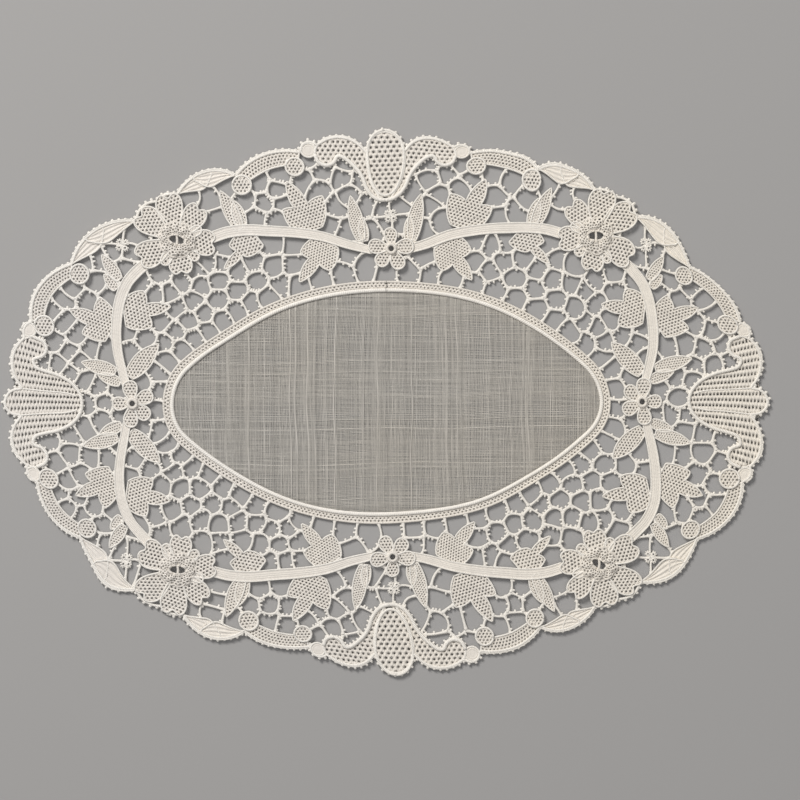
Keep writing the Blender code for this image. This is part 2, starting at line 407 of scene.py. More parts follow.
# %% The tape maker
def tape(line, width, ribs, height=0.55, ridge=0.07):
    """line + v w(s) sideways, z = height + ridge cos(2 pi ribs v) + 0.08 (1 - 4v^2), v from -1/2 to 1/2."""
    count = len(line)
    across = np.linspace(-0.5, 0.5, 6 * ribs + 1)
    top = height + ridge * np.cos(2 * np.pi * ribs * across) + 0.08 * (1 - 4 * across**2)
    profile = np.concatenate([across, [0.46, -0.46]])
    level = np.concatenate([top, [height - 0.6, height - 0.6]])
    width = np.broadcast_to(width, count)[:, None]
    normal = sideways(line)
    x = line[:, :1] + normal[:, :1] * profile * width
    y = line[:, 1:2] + normal[:, 1:] * profile * width
    z = np.broadcast_to(level, x.shape)
    points = np.stack([x, y, z], axis=2).reshape(-1, 3)
    reach = np.concatenate([[0], np.cumsum(np.linalg.norm(np.diff(line, axis=0), axis=1))])
    lay = np.stack([np.repeat(reach, len(profile)), (profile * width).ravel()], axis=1)
    m = len(profile)
    ring = np.arange(count - 1)[:, None] * m
    k = np.arange(m)[None, :]
    after = (k + 1) % m
    quads = np.stack([ring + k, ring + m + k, ring + m + after, ring + after], axis=2)
    ends = [np.arange(m)[None, :], np.arange(m)[None, ::-1] + (count - 1) * m]
    return points, [quads.reshape(-1, 4), *ends], lay


# %% [markdown]
# ## Picots
#
# A picot is a tiny loop or knot that the maker leaves on a bar or on the outer edge. At this size it
# reads as a blunt thorn, so it is a short dome of five or six sides: four rings that shrink towards the
# tip.

# %% The picot maker
def picots(roots, ways, length, width, height, sides=5):
    """root + way s + w(s) (cos a sideways + sin a up) on rings s, for all roots at once."""
    count = len(roots)
    reach = np.array([0.0, 0.5, 0.85, 1.0])
    swell = np.array([1.0, 0.98, 0.78, 0.35])
    angle = 2 * np.pi * np.arange(sides) / sides
    length = np.broadcast_to(length, count)[:, None, None]
    across = np.stack([-ways[:, 1], ways[:, 0]], axis=1)
    out = (width / 2) * swell[:, None] * np.cos(angle)
    up = height + (width / 2) * 0.8 * swell[:, None] * np.sin(angle)
    forward = reach[:, None] * length
    x = roots[:, 0, None, None] + ways[:, 0, None, None] * forward + across[:, 0, None, None] * out
    y = roots[:, 1, None, None] + ways[:, 1, None, None] * forward + across[:, 1, None, None] * out
    z = np.broadcast_to(up, x.shape)
    points = np.stack([x, y, z], axis=3).reshape(-1, 3)
    rings = len(reach)
    first = np.arange(count)[:, None, None] * rings * sides + np.arange(rings - 1)[:, None] * sides
    k = np.arange(sides)
    after = (k + 1) % sides
    quads = np.stack([first + k, first + after, first + sides + after, first + sides + k], axis=3)
    tips = np.arange(count)[:, None] * rings * sides + (rings - 1) * sides + np.arange(sides)
    lay = np.stack([np.broadcast_to(forward, x.shape).ravel(), np.tile(angle, count * rings)], axis=1)
    return points, [quads.reshape(-1, 4), tips], lay


# %% [markdown]
# ## Thread, linen and their stitches
#
# Three node groups do the work. `stitches` draws the whipped thread of a cord: slanted ribs along the
# `lay` map, with fine fibre noise on top. The second group mixes cool and warm ivory by slow random
# noise and by painted light that runs cooler and a touch darker towards the left, with a fine mottle
# over it. `yarn_shade` makes each yarn of the linen a little lighter or darker than the next. All
# three put out plain values and colours; the shader itself stays in each material.

# %% Node groups
def new_group(name, inputs, outputs):
    """An empty shader node group with named sockets."""
    group = bpy.data.node_groups.new(name, "ShaderNodeTree")
    for label, kind, default in inputs:
        socket = group.interface.new_socket(label, in_out="INPUT", socket_type=kind)
        if default is not None:
            socket.default_value = default
    for label, kind in outputs:
        group.interface.new_socket(label, in_out="OUTPUT", socket_type=kind)
    into = group.nodes.new("NodeGroupInput")
    out = group.nodes.new("NodeGroupOutput")
    return group, into, out


def maths(tree, kind, first, second=None):
    """A Math node fed by sockets or numbers; its output socket."""
    node = tree.nodes.new("ShaderNodeMath")
    node.operation = kind
    for slot, value in zip(node.inputs, (first, second)):
        if isinstance(value, (int, float)):
            slot.default_value = value
        elif value is not None:
            tree.links.new(value, slot)
    return node.outputs[0]


def noise(tree, vector, scale, detail=3.0):
    """A Noise Texture on this vector; its value socket."""
    node = tree.nodes.new("ShaderNodeTexNoise")
    node.inputs["Scale"].default_value = scale
    node.inputs["Detail"].default_value = detail
    tree.links.new(vector, node.inputs["Vector"])
    return node.outputs["Fac"]


def shaded(tree, colour, shade):
    """A colour socket multiplied by a value socket; the new colour socket."""
    mix = tree.nodes.new("ShaderNodeMix")
    mix.data_type = "RGBA"
    mix.blend_type = "MULTIPLY"
    mix.inputs["Factor"].default_value = 1.0
    tree.links.new(colour, mix.inputs[6])
    tree.links.new(shade, mix.inputs[7])
    return mix.outputs[2]


def stitches_group():
    """Height = |sin(pi (u + slant v) / pitch)| softened, plus fibre noise."""
    inputs = [
        ("Lay", "NodeSocketVector", None),
        ("Place", "NodeSocketVector", None),
        ("Pitch", "NodeSocketFloat", 0.5),
        ("Slant", "NodeSocketFloat", 0.1),
    ]
    group, into, out = new_group("stitches", inputs, [("Height", "NodeSocketFloat")])
    split = group.nodes.new("ShaderNodeSeparateXYZ")
    group.links.new(into.outputs["Lay"], split.inputs[0])
    slanted = maths(group, "MULTIPLY", split.outputs["Y"], into.outputs["Slant"])
    across = maths(group, "ADD", split.outputs["X"], slanted)
    turns = maths(group, "DIVIDE", across, into.outputs["Pitch"])
    wave = maths(group, "SINE", maths(group, "MULTIPLY", turns, np.pi))
    rib = maths(group, "POWER", maths(group, "ABSOLUTE", wave), 0.6)
    fibre = maths(group, "MULTIPLY", noise(group, into.outputs["Place"], 2600.0, 2.0), 0.8)
    group.links.new(maths(group, "ADD", rib, fibre), out.inputs["Height"])
    return group


def tone_and_painted_light_group():
    """Mixes Cool and Warm by slow noise plus painted light, cooler to the left; darkens a little by fine
    noise.
    """
    inputs = [
        ("Place", "NodeSocketVector", None),
        ("Cool", "NodeSocketColor", (0.8, 0.8, 0.8, 1)),
        ("Warm", "NodeSocketColor", (0.8, 0.7, 0.6, 1)),
    ]
    group, into, out = new_group("tone_and_painted_light", inputs, [("Color", "NodeSocketColor")])
    split = group.nodes.new("ShaderNodeSeparateXYZ")
    group.links.new(into.outputs["Place"], split.inputs[0])
    # painted light: the mix leans cool and a touch darker towards the left, warm towards the right
    along_x = maths(group, "MULTIPLY", split.outputs["X"], 2.4)
    slow = maths(group, "ADD", along_x, noise(group, into.outputs["Place"], 22.0, 2.0))
    tone = group.nodes.new("ShaderNodeMix")
    tone.data_type = "RGBA"
    group.links.new(slow, tone.inputs["Factor"])
    group.links.new(into.outputs["Cool"], tone.inputs[6])
    group.links.new(into.outputs["Warm"], tone.inputs[7])
    fine = noise(group, into.outputs["Place"], 420.0, 4.0)
    shade = maths(group, "ADD", maths(group, "MULTIPLY", fine, 0.22), 0.87)
    group.links.new(shaded(group, tone.outputs[2], shade), out.inputs["Color"])
    return group


def yarn_group():
    """Colour times 0.62 + 0.5 slow noise over a few yarns + 0.2 chance, both by the yarn's number."""
    inputs = [("Lay", "NodeSocketVector", None), ("Color", "NodeSocketColor", (0.8, 0.8, 0.8, 1))]
    group, into, out = new_group("yarn_shade", inputs, [("Color", "NodeSocketColor")])
    split = group.nodes.new("ShaderNodeSeparateXYZ")
    group.links.new(into.outputs["Lay"], split.inputs[0])
    number = split.outputs["Y"]
    slow = group.nodes.new("ShaderNodeTexNoise")
    slow.noise_dimensions = "1D"
    slow.inputs["Scale"].default_value = 0.21
    group.links.new(number, slow.inputs["W"])
    own = group.nodes.new("ShaderNodeTexWhiteNoise")
    own.noise_dimensions = "1D"
    group.links.new(number, own.inputs["W"])
    steady = maths(group, "ADD", maths(group, "MULTIPLY", slow.outputs["Fac"], 0.5), 0.62)
    shade = maths(group, "ADD", steady, maths(group, "MULTIPLY", own.outputs["Value"], 0.2))
    group.links.new(shaded(group, into.outputs["Color"], shade), out.inputs["Color"])
    return group


# %% Thread materials
STITCHES = stitches_group()
TONE_AND_PAINTED_LIGHT = tone_and_painted_light_group()
YARN_SHADE = yarn_group()
THREAD_ROUGHNESS = 0.82
THREAD_SPECULAR = 0.25
THREAD_SHEEN = 0.15
COOL_IVORY = (0.82, 0.78, 0.73, 1)
WARM_IVORY = (0.87, 0.81, 0.71, 1)
COOL_WHITE = (0.92, 0.89, 0.84, 1)
WARM_WHITE = (0.95, 0.90, 0.81, 1)
COOL_LINEN = (0.63, 0.61, 0.57, 1)
WARM_LINEN = (0.65, 0.61, 0.54, 1)


def thread_material(name, pitch, slant, depth, cool=COOL_IVORY, warm=WARM_IVORY):
    """Matt cotton thread worked at this stitch pitch, in millimetres of the lay map."""
    made = bpy.data.materials.new(name)
    made.use_nodes = True
    tree = made.node_tree
    shader = tree.nodes["Principled BSDF"]
    place = tree.nodes.new("ShaderNodeTexCoord").outputs["Object"]
    lay = tree.nodes.new("ShaderNodeUVMap")
    lay.uv_map = "lay"
    stitched = tree.nodes.new("ShaderNodeGroup")
    stitched.node_tree = STITCHES
    tree.links.new(lay.outputs["UV"], stitched.inputs["Lay"])
    tree.links.new(place, stitched.inputs["Place"])
    stitched.inputs["Pitch"].default_value = pitch
    stitched.inputs["Slant"].default_value = slant
    # ivory mixed by slow random tone and by painted light, cooler and a touch darker to the left
    tone_and_light_node = tree.nodes.new("ShaderNodeGroup")
    tone_and_light_node.node_tree = TONE_AND_PAINTED_LIGHT
    tree.links.new(place, tone_and_light_node.inputs["Place"])
    tone_and_light_node.inputs["Cool"].default_value = cool
    tone_and_light_node.inputs["Warm"].default_value = warm
    bump = tree.nodes.new("ShaderNodeBump")
    bump.inputs["Distance"].default_value = depth
    tree.links.new(stitched.outputs["Height"], bump.inputs["Height"])
    tree.links.new(bump.outputs["Normal"], shader.inputs["Normal"])
    tree.links.new(tone_and_light_node.outputs["Color"], shader.inputs["Base Color"])
    shader.inputs["Roughness"].default_value = THREAD_ROUGHNESS
    shader.inputs["Specular IOR Level"].default_value = THREAD_SPECULAR
    shader.inputs["Sheen Weight"].default_value = THREAD_SHEEN
    return made


def shade_yarns(material):
    """Puts the yarn_shade group between a material's colour and its shader."""
    tree = material.node_tree
    colour = tree.nodes["Principled BSDF"].inputs["Base Color"]
    lay = tree.nodes.new("ShaderNodeUVMap")
    lay.uv_map = "lay"
    yarn = tree.nodes.new("ShaderNodeGroup")
    yarn.node_tree = YARN_SHADE
    tree.links.new(lay.outputs["UV"], yarn.inputs["Lay"])
    tree.links.new(colour.links[0].from_socket, yarn.inputs["Color"])
    tree.links.new(yarn.outputs["Color"], colour)


cord_thread = thread_material("whipped_cord", 0.55, 0.12, 0.00012, COOL_WHITE, WARM_WHITE)
toile_thread = thread_material("toile_thread", 0.60, 0.0, 0.00012)
tape_thread = thread_material("cloth_stitch", 0.50, 0.0, 0.00008)
net_thread = thread_material("buttonhole_bar", 0.45, 0.08, 0.00010, COOL_WHITE, WARM_WHITE)
relief_thread = thread_material("relief_thread", 0.50, 0.1, 0.00010)
hem_thread = thread_material("rolled_hem", 0.8, 0.25, 0.00012, COOL_WHITE, WARM_WHITE)
linen_thread = thread_material("linen_yarn", 0.9, 0.0, 0.00003, COOL_LINEN, WARM_LINEN)
shade_yarns(linen_thread)

# %% [markdown]
# ## The scalloped edge and the centre
#
# The outer edge is a chain of shallow arcs from notch to notch, mirrored round the four quarters. The
# centre is a lens with round ends: a long arc above and below, tangent to a small arc at each end.
# Both are the lines that the CAD solids were cut to.

# %% Edge and centre lines
TONGUE_NOTCH = (7.2, 95.7)
TONGUE_RISE = 7.4
SHELL_RISE = 6.4
SCALLOPS = [
    # name, end x (mm), end y (mm), rise (mm)
    ("scroll arm", 26.3, 98.6, 4.3),
    ("bead", 32.8, 95.5, 2.6),
    ("long scroll", 56.7, 86.9, 3.3),
    ("close leaf", 79.3, 80.3, 5.2),
    ("rose lobe", 87.6, 77.3, 1.3),
    ("rose lobe", 95.4, 69.6, 2.3),
    ("close leaf", 119.5, 53.2, 5.3),
    ("side scroll", 135.4, 31.0, 5.0),
    ("bead", 138.2, 24.8, 1.6),
    ("shell side", 138.8, 5.5, 4.1),
]
NOTCHES = [TONGUE_NOTCH] + [(x, y) for _, x, y, _ in SCALLOPS]
RISES = [rise for *_, rise in SCALLOPS]
CENTRE_HALF_LENGTH = 84.7
CENTRE_HALF_WIDTH = 46.3
CENTRE_END_RADIUS = 21.0


def edge_line(step=0.7):
    """The whole scalloped outline, clockwise from the top tongue."""
    rows = []
    for side_x, side_y in QUARTERS:
        towards_shell = side_x * side_y > 0
        notches = NOTCHES if towards_shell else NOTCHES[::-1]
        rises = RISES if towards_shell else RISES[::-1]
        rises = rises + [SHELL_RISE if towards_shell else TONGUE_RISE]
        rows += [(side_x * x, side_y * y, rise) for (x, y), rise in zip(notches, rises)]
    return arcs(rows, step)


def centre_line(inset, step=0.7):
    """The centre's outline taken in by inset: arcs of one radius, tangent to the end arcs."""
    length, width = CENTRE_HALF_LENGTH - inset, CENTRE_HALF_WIDTH - inset
    end = CENTRE_END_RADIUS - inset
    reach = length - end
    side = (reach**2 + width**2 - end**2) / (2 * (width - end))
    drop = side - width
    lean = np.arctan2(reach, drop)
    a = np.linspace(0, lean, 90, endpoint=False)
    b = np.linspace(lean, np.pi / 2, 40)
    x = np.concatenate([side * np.sin(a), reach + end * np.sin(b)])
    y = np.concatenate([side * np.cos(a) - drop, end * np.cos(b)])
    quarter = np.stack([x, y], axis=1)
    right = np.concatenate([quarter, quarter[-2::-1] * [1, -1]])
    return even(np.concatenate([right, right[-2:0:-1] * [-1, 1]]), step, closed=True)


edge = edge_line()
centre = centre_line(0.0)
print("edge runs", round(float(np.linalg.norm(np.diff(edge, axis=0), axis=1).sum())), "mm")

# %% [markdown]
# ## Keeping the pieces of the border together
#
# Each motif adds its toile, its cords and its outline here. A motif drawn in the first quarter is
# copied to the others by mirroring the finished points, which is cheap. The outlines are kept as well:
# later the net has to stop at every one of them.

# %% The border's lists
fabric, edge_fabric, cords, tapes, edge_thorns, inner_thorns, outlines = [], [], [], [], [], [], []
CORD = 0.40


def add(target, part, copies):
    """Adds the part to a list once for each mirrored copy."""
    target.extend(mirrored(part, *sides) for sides in copies)


def filled(outline, copies, pitch=1.62, row=1.3, hole=0.62, turn=0.0, height=0.6, radius=CORD, into=fabric):
    """A motif: toile inside an outline, a cord round it, and the outline for the net."""
    add(into, toile(outline, pitch, row, hole, turn, height), copies)
    add(cords, cord(even(outline, 0.7, True), radius, height + 0.18, closed=True), copies)
    outlines.extend(outline * sides for sides in copies)


def thorns(line, copies, spacing, length, width, side, height, target):
    """Picots along a line at this spacing, on its left (1) or right (-1)."""
    at = even(line, spacing)[1:-1]
    ways = sideways(even(line, spacing))[1:-1] * side
    size = length * random.uniform(0.75, 1.15, len(at))
    add(target, picots(at, ways, size, width, height), copies)


# %% [markdown]
# ## Leaves
#
# A leaf is drawn from its base to one, two or three tips. Arcs join base and tips, and between two
# tips the outline dips to a notch part of the way back to the base. The same function draws the slim
# pairs by the roses and blossoms and the broad leaves on the middle of each stem.

# %% Leaves along the stems
LEAVES = [
    # base x, base y, base width, tips (x, y) clockwise, bulge, pitch, row, hole, height
    (54.2, 66.6, 2.4, [(57.6, 77.0)], 0.16, 1.15, 1.0, 0.32, 0.60),
    (55.4, 66.2, 2.8, [(62.6, 80.8)], 0.12, 1.15, 1.0, 0.34, 0.74),
    (28.6, 65.2, 8.6, [(24.6, 78.8), (37.9, 84.0), (39.6, 73.4)], 0.11, 1.38, 1.12, 0.46, 0.60),
    (8.4, 61.4, 2.2, [(9.5, 70.4)], 0.14, 1.0, 0.88, 0.28, 0.60),
    (9.8, 61.6, 2.8, [(13.8, 78.8)], 0.11, 1.0, 0.88, 0.30, 0.74),
    (49.0, 63.4, 8.6, [(59.8, 60.6), (62.0, 51.6), (53.0, 56.2)], 0.12, 1.42, 1.2, 0.46, 0.60),
    (21.8, 60.8, 8.6, [(32.2, 57.0), (32.8, 45.6), (21.2, 49.8)], 0.13, 1.12, 1.0, 0.34, 0.60),
    (101.2, 46.8, 2.6, [(107.4, 56.0)], 0.13, 1.1, 0.95, 0.30, 0.74),
    (102.4, 43.4, 2.4, [(106.8, 48.8)], 0.16, 1.1, 0.95, 0.30, 0.60),
    (104.0, 27.8, 9.2, [(108.6, 40.4), (120.2, 35.6), (115.6, 27.0)], 0.09, 1.32, 1.1, 0.42, 0.60),
    (102.4, 12.2, 2.8, [(116.0, 16.2)], 0.13, 1.0, 0.9, 0.26, 0.70),
    (100.6, 7.8, 2.6, [(109.4, 11.2)], 0.14, 1.0, 0.9, 0.26, 0.60),
    (99.4, 34.0, 9.6, [(88.8, 28.8), (82.0, 37.0), (92.2, 42.8)], 0.13, 1.42, 1.2, 0.48, 0.60),
    (97.2, 10.4, 3.6, [(85.8, 22.2)], 0.15, 1.3, 1.08, 0.40, 0.60),
]
NOTCH_SHARE = 0.66
INNER_BULGE = 0.10


def leaf_outline(base, base_width, tips, bulge):
    """Base corner, arcs out to each tip and back to a notch between tips, arc to the other corner."""
    base, tips = np.array(base, float), np.array(tips, float)
    heading = tips.mean(axis=0) - base
    heading /= np.linalg.norm(heading)
    left = np.array([-heading[1], heading[0]]) * base_width / 2
    rows = [(*(base + left), bulge * np.linalg.norm(tips[0] - base - left))]
    for tip, following in zip(tips[:-1], tips[1:]):
        notch = base + NOTCH_SHARE * ((tip + following) / 2 - base)
        rows.append((*tip, INNER_BULGE * np.linalg.norm(tip - notch)))
        rows.append((*notch, INNER_BULGE * np.linalg.norm(following - notch)))
    rows.append((*tips[-1], bulge * np.linalg.norm(tips[-1] - base + left)))
    rows.append((*(base - left), 0.0))
    return arcs(rows, 0.6)


for x, y, base_width, tips, bulge, pitch, row, hole, height in LEAVES:
    shape = leaf_outline((x, y), base_width, tips, bulge)
    lean = np.arctan2(tips[0][1] - y, tips[0][0] - x)
    filled(shape, QUARTERS, pitch, row, hole, lean + random.uniform(-0.2, 0.2), height - 0.08, 0.34)
print(len(LEAVES), "leaves in each quarter")

# %% [markdown]
# ## Stems
#
# Two garlands leave each rose, one towards the blossom on the long side, one towards the blossom at
# the end. Each is a smooth tape, a little narrower near the blossom, with a fine cord on both edges.

# %% Stem tapes
STEMS = {
    "long side": [(66.4, 63.6), (60.0, 65.4), (52.4, 66.0), (44.1, 65.4), (34.3, 64.6),
                  (24.4, 63.0), (14.6, 59.9), (5.6, 57.8)],
    "end": [(90.6, 53.2), (94.6, 49.8), (98.6, 45.2), (101.3, 38.4), (102.2, 29.6),
            (101.6, 20.4), (99.6, 11.6), (98.2, 6.6)],
}
STEM_WIDTH = 3.7
for name, points in STEMS.items():
    line = smooth(points, 1.0)
    share = np.linspace(0, 1, len(line))
    width = STEM_WIDTH * (1 - 0.28 * share**3)
    add(tapes, tape(line, width, 5, height=1.0, ridge=0.045), QUARTERS)
    normal = sideways(line)
    left, right = line + normal * width[:, None] / 2, line - normal * width[:, None] / 2
    for rim in (left, right):
        add(cords, cord(rim, 0.32, 1.0), QUARTERS)
    outlines.extend(np.concatenate([left, right[::-1]]) * sides for sides in QUARTERS)
    print(name, "stem", round(along(line)[1], 1), "mm")

# %% [markdown]
# ## Petals
#
# A petal is drawn in polar form round the middle of its flower. Its rim is a superellipse, blunt like
# a fingertip, and a petal of two lobes has a narrow dip in the middle of the rim. Neighbouring petals
# overlap, so each one is set a hair higher than the last.

# %% Roses and blossoms
ROSE = (79.8, 62.3)
ROSE_PETALS = [
    # bearing (deg), half spread (deg), reach (mm), lobes
    (34, 27, 17.9, 2),
    (79, 26, 18.2, 2),
    (128, 25, 16.2, 2),
    (184, 29, 15.0, 2),
    (262, 29, 13.4, 2),
    (-30, 28, 16.8, 2),
    (222, 16, 10.5, 1),
    (154, 15, 10.5, 1),
    (-62, 15, 11.0, 1),
]
BLOSSOMS = {
    # name: (x, y, bearing of the outward petal in degrees)
    "top": (1.6, 58.5, 90),
    "right": (97.0, 0.0, 0),
    "bottom": (1.6, -58.5, -90),
    "left": (-96.0, 0.0, 180),
}
BLOSSOM_PETALS = [
    # bearing from the outward one (deg), reach (mm)
    (0, 7.6),
    (82, 8.6),
    (-82, 8.6),
    (140, 8.1),
    (-154, 8.3),
]


def petal_outline(middle, bearing, spread, inner, reach, lobes, blunt=2.6):
    """radius = inner + (reach - inner)(1 - |t|^n)^(1/n), less a dip at t = 0, for t from -1 to 1."""
    t = np.sin(np.linspace(-np.pi / 2, np.pi / 2, 41))
    swell = (1 - np.abs(t) ** blunt) ** (1 / blunt)
    dip = 0.16 * np.exp(-((t / 0.2) ** 2)) if lobes == 2 else 0
    radius = inner + (reach - inner) * swell * (1 - dip)
    angle = np.radians(bearing) - np.radians(spread) * t
    return np.stack([middle[0] + radius * np.cos(angle), middle[1] + radius * np.sin(angle)], axis=1)


for k, (bearing, spread, reach, lobes) in enumerate(ROSE_PETALS):
    shape = even(petal_outline(ROSE, bearing, spread, 3.2, reach, lobes), 0.6, True)
    filled(shape, QUARTERS, 1.5, 1.25, 0.55, np.radians(bearing + 20), 1.15 + 0.1 * (k % 3), 0.38)

for name, (x, y, outward) in BLOSSOMS.items():
    for k, (bearing, reach) in enumerate(BLOSSOM_PETALS):
        shape = petal_outline((x, y), outward + bearing, 31, 1.6, reach, 1, 2.3)
        filled(even(shape, 0.5, True), [(1, 1)], 1.3, 1.1, 0.46, height=1.1 + 0.08 * (k % 3), radius=0.36)

# %% [markdown]
# ## The bands along the edge
#
# Between the roses and the tongues the edge is a run of bands: pinholed scrolls that curl into a small
# volute at each end, and close leaves with lengthwise ridges. A band lies just inside its scallop, so
# its middle line is the scallop's arc moved inwards by half the band's width.

# %% Scrolls, close leaves and beads
def scallop_arc(index, step=0.6):
    """The arc of one scallop of the first quarter, ends included."""
    start, end = NOTCHES[index], NOTCHES[index + 1]
    return np.concatenate([arc(start, end, RISES[index], step), [end]])


def swell_band(line, width):
    """The outline of a band inside a line: the line itself, and the line moved right by width(s)."""
    return np.concatenate([line, (line - sideways(line) * width[:, None])[::-1]])


def pinholed_band(line, width, copies, height=0.6):
    """Toile whose rows follow the band, with a cord round it."""
    place, length = along(line)
    at = np.linspace(0, length, len(line))
    flat = np.concatenate([np.stack([at, 0 * at], axis=1), np.stack([at, -width], axis=1)[::-1]])
    add(edge_fabric, toile(even(flat, 0.6, True), 1.5, 1.2, 0.48, height=height, place=place), copies)
    outline = swell_band(line, width)
    add(cords, cord(even(outline, 0.7, True), CORD, height + 0.18, closed=True), copies)
    outlines.extend(outline * sides for sides in copies)


def disc(middle, radius, step=0.6):
    """A round outline, clockwise."""
    angle = -np.linspace(0, 2 * np.pi, max(int(2 * np.pi * radius / step), 8), endpoint=False)
    return np.array(middle) + radius * np.stack([np.cos(angle), np.sin(angle)], axis=1)


SCROLLS = [
    # scallop index, width (mm), volute centres and radii (mm)
    (2, 6.2, [(34.6, 89.4, 3.3), (54.4, 82.8, 3.5)]),
    (7, 6.2, [(116.2, 49.0, 3.6), (130.2, 29.4, 3.6)]),
]
for index, width, volutes in SCROLLS:
    line = scallop_arc(index)
    share = np.linspace(0, 1, len(line))
    for x, y, radius in volutes:
        filled(disc((x, y), radius), QUARTERS, 1.4, 1.15, 0.50, height=1.05, radius=0.45, into=edge_fabric)
    pinholed_band(line, width * (1 - 0.2 * np.abs(2 * share - 1) ** 3), QUARTERS, 0.6)

CLOSE_LEAVES = [
    # scallop index, width (mm)
    (3, 6.6),
    (6, 7.0),
]
for index, width in CLOSE_LEAVES:
    line = scallop_arc(index, 1.0)
    share = np.linspace(0, 1, len(line))
    half = len(line) * 5 // 9
    for first, last, level in ((0, half + 4, 0.78), (half - 5, len(line), 0.6)):
        rim, part = line[first:last], np.clip(np.linspace(0, 1, last - first), 0.02, 0.98)
        skewed = part**1.5 if first == 0 else 1 - (1 - part) ** 1.4
        depth = width * np.sin(np.pi * skewed) ** 0.5
        middle = rim - sideways(rim) * depth[:, None] / 2
        add(tapes, tape(middle, depth, 4, height=level, ridge=0.19), QUARTERS)
        outline = swell_band(rim, depth)
        add(cords, cord(even(outline, 0.7, True), 0.36, level + 0.16, closed=True), QUARTERS)
        outlines.extend(outline * sides for sides in QUARTERS)

BEADS = [(29.5, 95.9, 2.7), (136.0, 27.7, 2.6)]


def button(middle, radius, height=0.75):
    """A low dome with a raised ring: z = height + 0.25 (1 - s^2) + 0.2 exp(-((s - 0.72)/0.1)^2)."""
    s = np.linspace(0.03, 1, 12)
    around = np.linspace(0, 2 * np.pi, 28, endpoint=False)
    level = height + 0.25 * (1 - s**2) + 0.2 * np.exp(-(((s - 0.72) / 0.1) ** 2))
    s, level = np.append(s, [1.0, 0.03]), np.append(level, [height - 0.4, height - 0.4])
    x = middle[0] + radius * s[:, None] * np.cos(around)
    y = middle[1] + radius * s[:, None] * np.sin(around)
    z = np.broadcast_to(level[:, None], x.shape)
    points = np.stack([x, y, z], axis=2).reshape(-1, 3)
    m = len(around)
    ring = np.arange(len(s) - 1)[:, None] * m
    k = np.arange(m)[None, :]
    after = (k + 1) % m
    quads = np.stack([ring + k, ring + m + k, ring + m + after, ring + after], axis=2)
    caps = [np.arange(m)[None, :], np.arange(m)[None, ::-1] + (len(s) - 1) * m]
    return points, [quads.reshape(-1, 4), *caps], points[:, :2].copy()


for x, y, radius in BEADS:
    add(tapes, button((x, y), radius), QUARTERS)
    add(cords, cord(disc((x, y), radius), 0.42, 0.85, closed=True), QUARTERS)
    outlines.extend(disc((x, y), radius) * sides for sides in QUARTERS)

# %% [markdown]
# ## Tongues and shells
#
# The middle of each long side carries an egg-shaped tongue between two scroll arms; each end carries a
# shell whose pinholes run in nearly level rows. They are the boldest motifs, so their inner cords are
# nearly twice as thick as the others and carry picots that point into the net.

# %% Tongues with their arms, and shells
EGG = [(0.0, 103.1), (4.1, 101.6), (6.7, 97.8), (7.0, 93.6), (6.5, 88.4), (5.1, 83.4), (2.9, 79.8),
       (0.0, 78.5)]
egg = smooth(EGG + [(-x, y) for x, y in EGG[-2:0:-1]], 0.6, closed=True)
filled(egg, SIDES, 2.3, 1.7, 0.64, height=0.8, radius=0.55, into=edge_fabric)

ARM = [(7.6, 95.6), (11.2, 99.2), (15.2, 101.0), (19.4, 101.2), (23.4, 100.2), (26.3, 97.6), (27.2, 94.4),
       (25.8, 91.4), (22.9, 90.3), (20.2, 91.5), (18.9, 94.0), (16.0, 93.2), (13.2, 91.0), (10.6, 88.2),
       (8.9, 85.2), (7.6, 81.8), (5.4, 78.8), (2.4, 77.2), (3.4, 79.6), (5.6, 83.4), (7.0, 88.4), (7.5, 93.0)]
arm = smooth(ARM, 0.6, closed=True)
filled(arm, QUARTERS, 2.0, 1.6, 0.56, height=0.6, radius=0.55, into=edge_fabric)
ARM_CORD = [(27.1, 94.2), (25.8, 91.4), (22.9, 90.3), (20.2, 91.5), (18.7, 93.9), (16.2, 93.4), (13.2, 91.0),
            (10.6, 88.2), (8.9, 85.2), (7.6, 81.8), (5.4, 78.8), (2.6, 77.1), (0.0, 76.7)]
arm_line = smooth(ARM_CORD, 0.7)
add(cords, cord(arm_line, 0.8, 0.95, sides=8), QUARTERS)
thorns(arm_line, QUARTERS, 1.9, 1.5, 1.1, 1, 0.7, inner_thorns)

SHELL = [(138.9, 5.4), (141.4, 4.6), (144.0, 2.6), (144.9, 0.0), (144.0, -2.6), (141.4, -4.6), (138.9, -5.4),
         (141.3, -10.0), (142.5, -15.4), (141.5, -20.4), (138.2, -23.8), (134.2, -25.0), (130.7, -23.4),
         (129.6, -20.6), (131.0, -17.9), (134.4, -16.4), (133.2, -13.4), (129.4, -12.0), (124.6, -10.6),
         (119.6, -7.8), (116.4, -4.0), (115.4, 0.0)]
SHELL_TIP = 115.4
SHELL_LENGTH = 29.5
shell_line = SHELL + [(x, -y) for x, y in SHELL[-2:6:-1]]
shell = smooth(shell_line, 0.6, closed=True)


def fan(x):
    """How far apart the rows of the shell stand: 0.8 of the even spacing at its inner tip, 1.2 outside."""
    return 0.8 + 0.4 * (x - SHELL_TIP) / SHELL_LENGTH


def shell_place(points):
    """The flat rows of the shell spread by fan(x)."""
    return np.stack([points[:, 0], points[:, 1] * fan(points[:, 0]), points[:, 2]], axis=1)


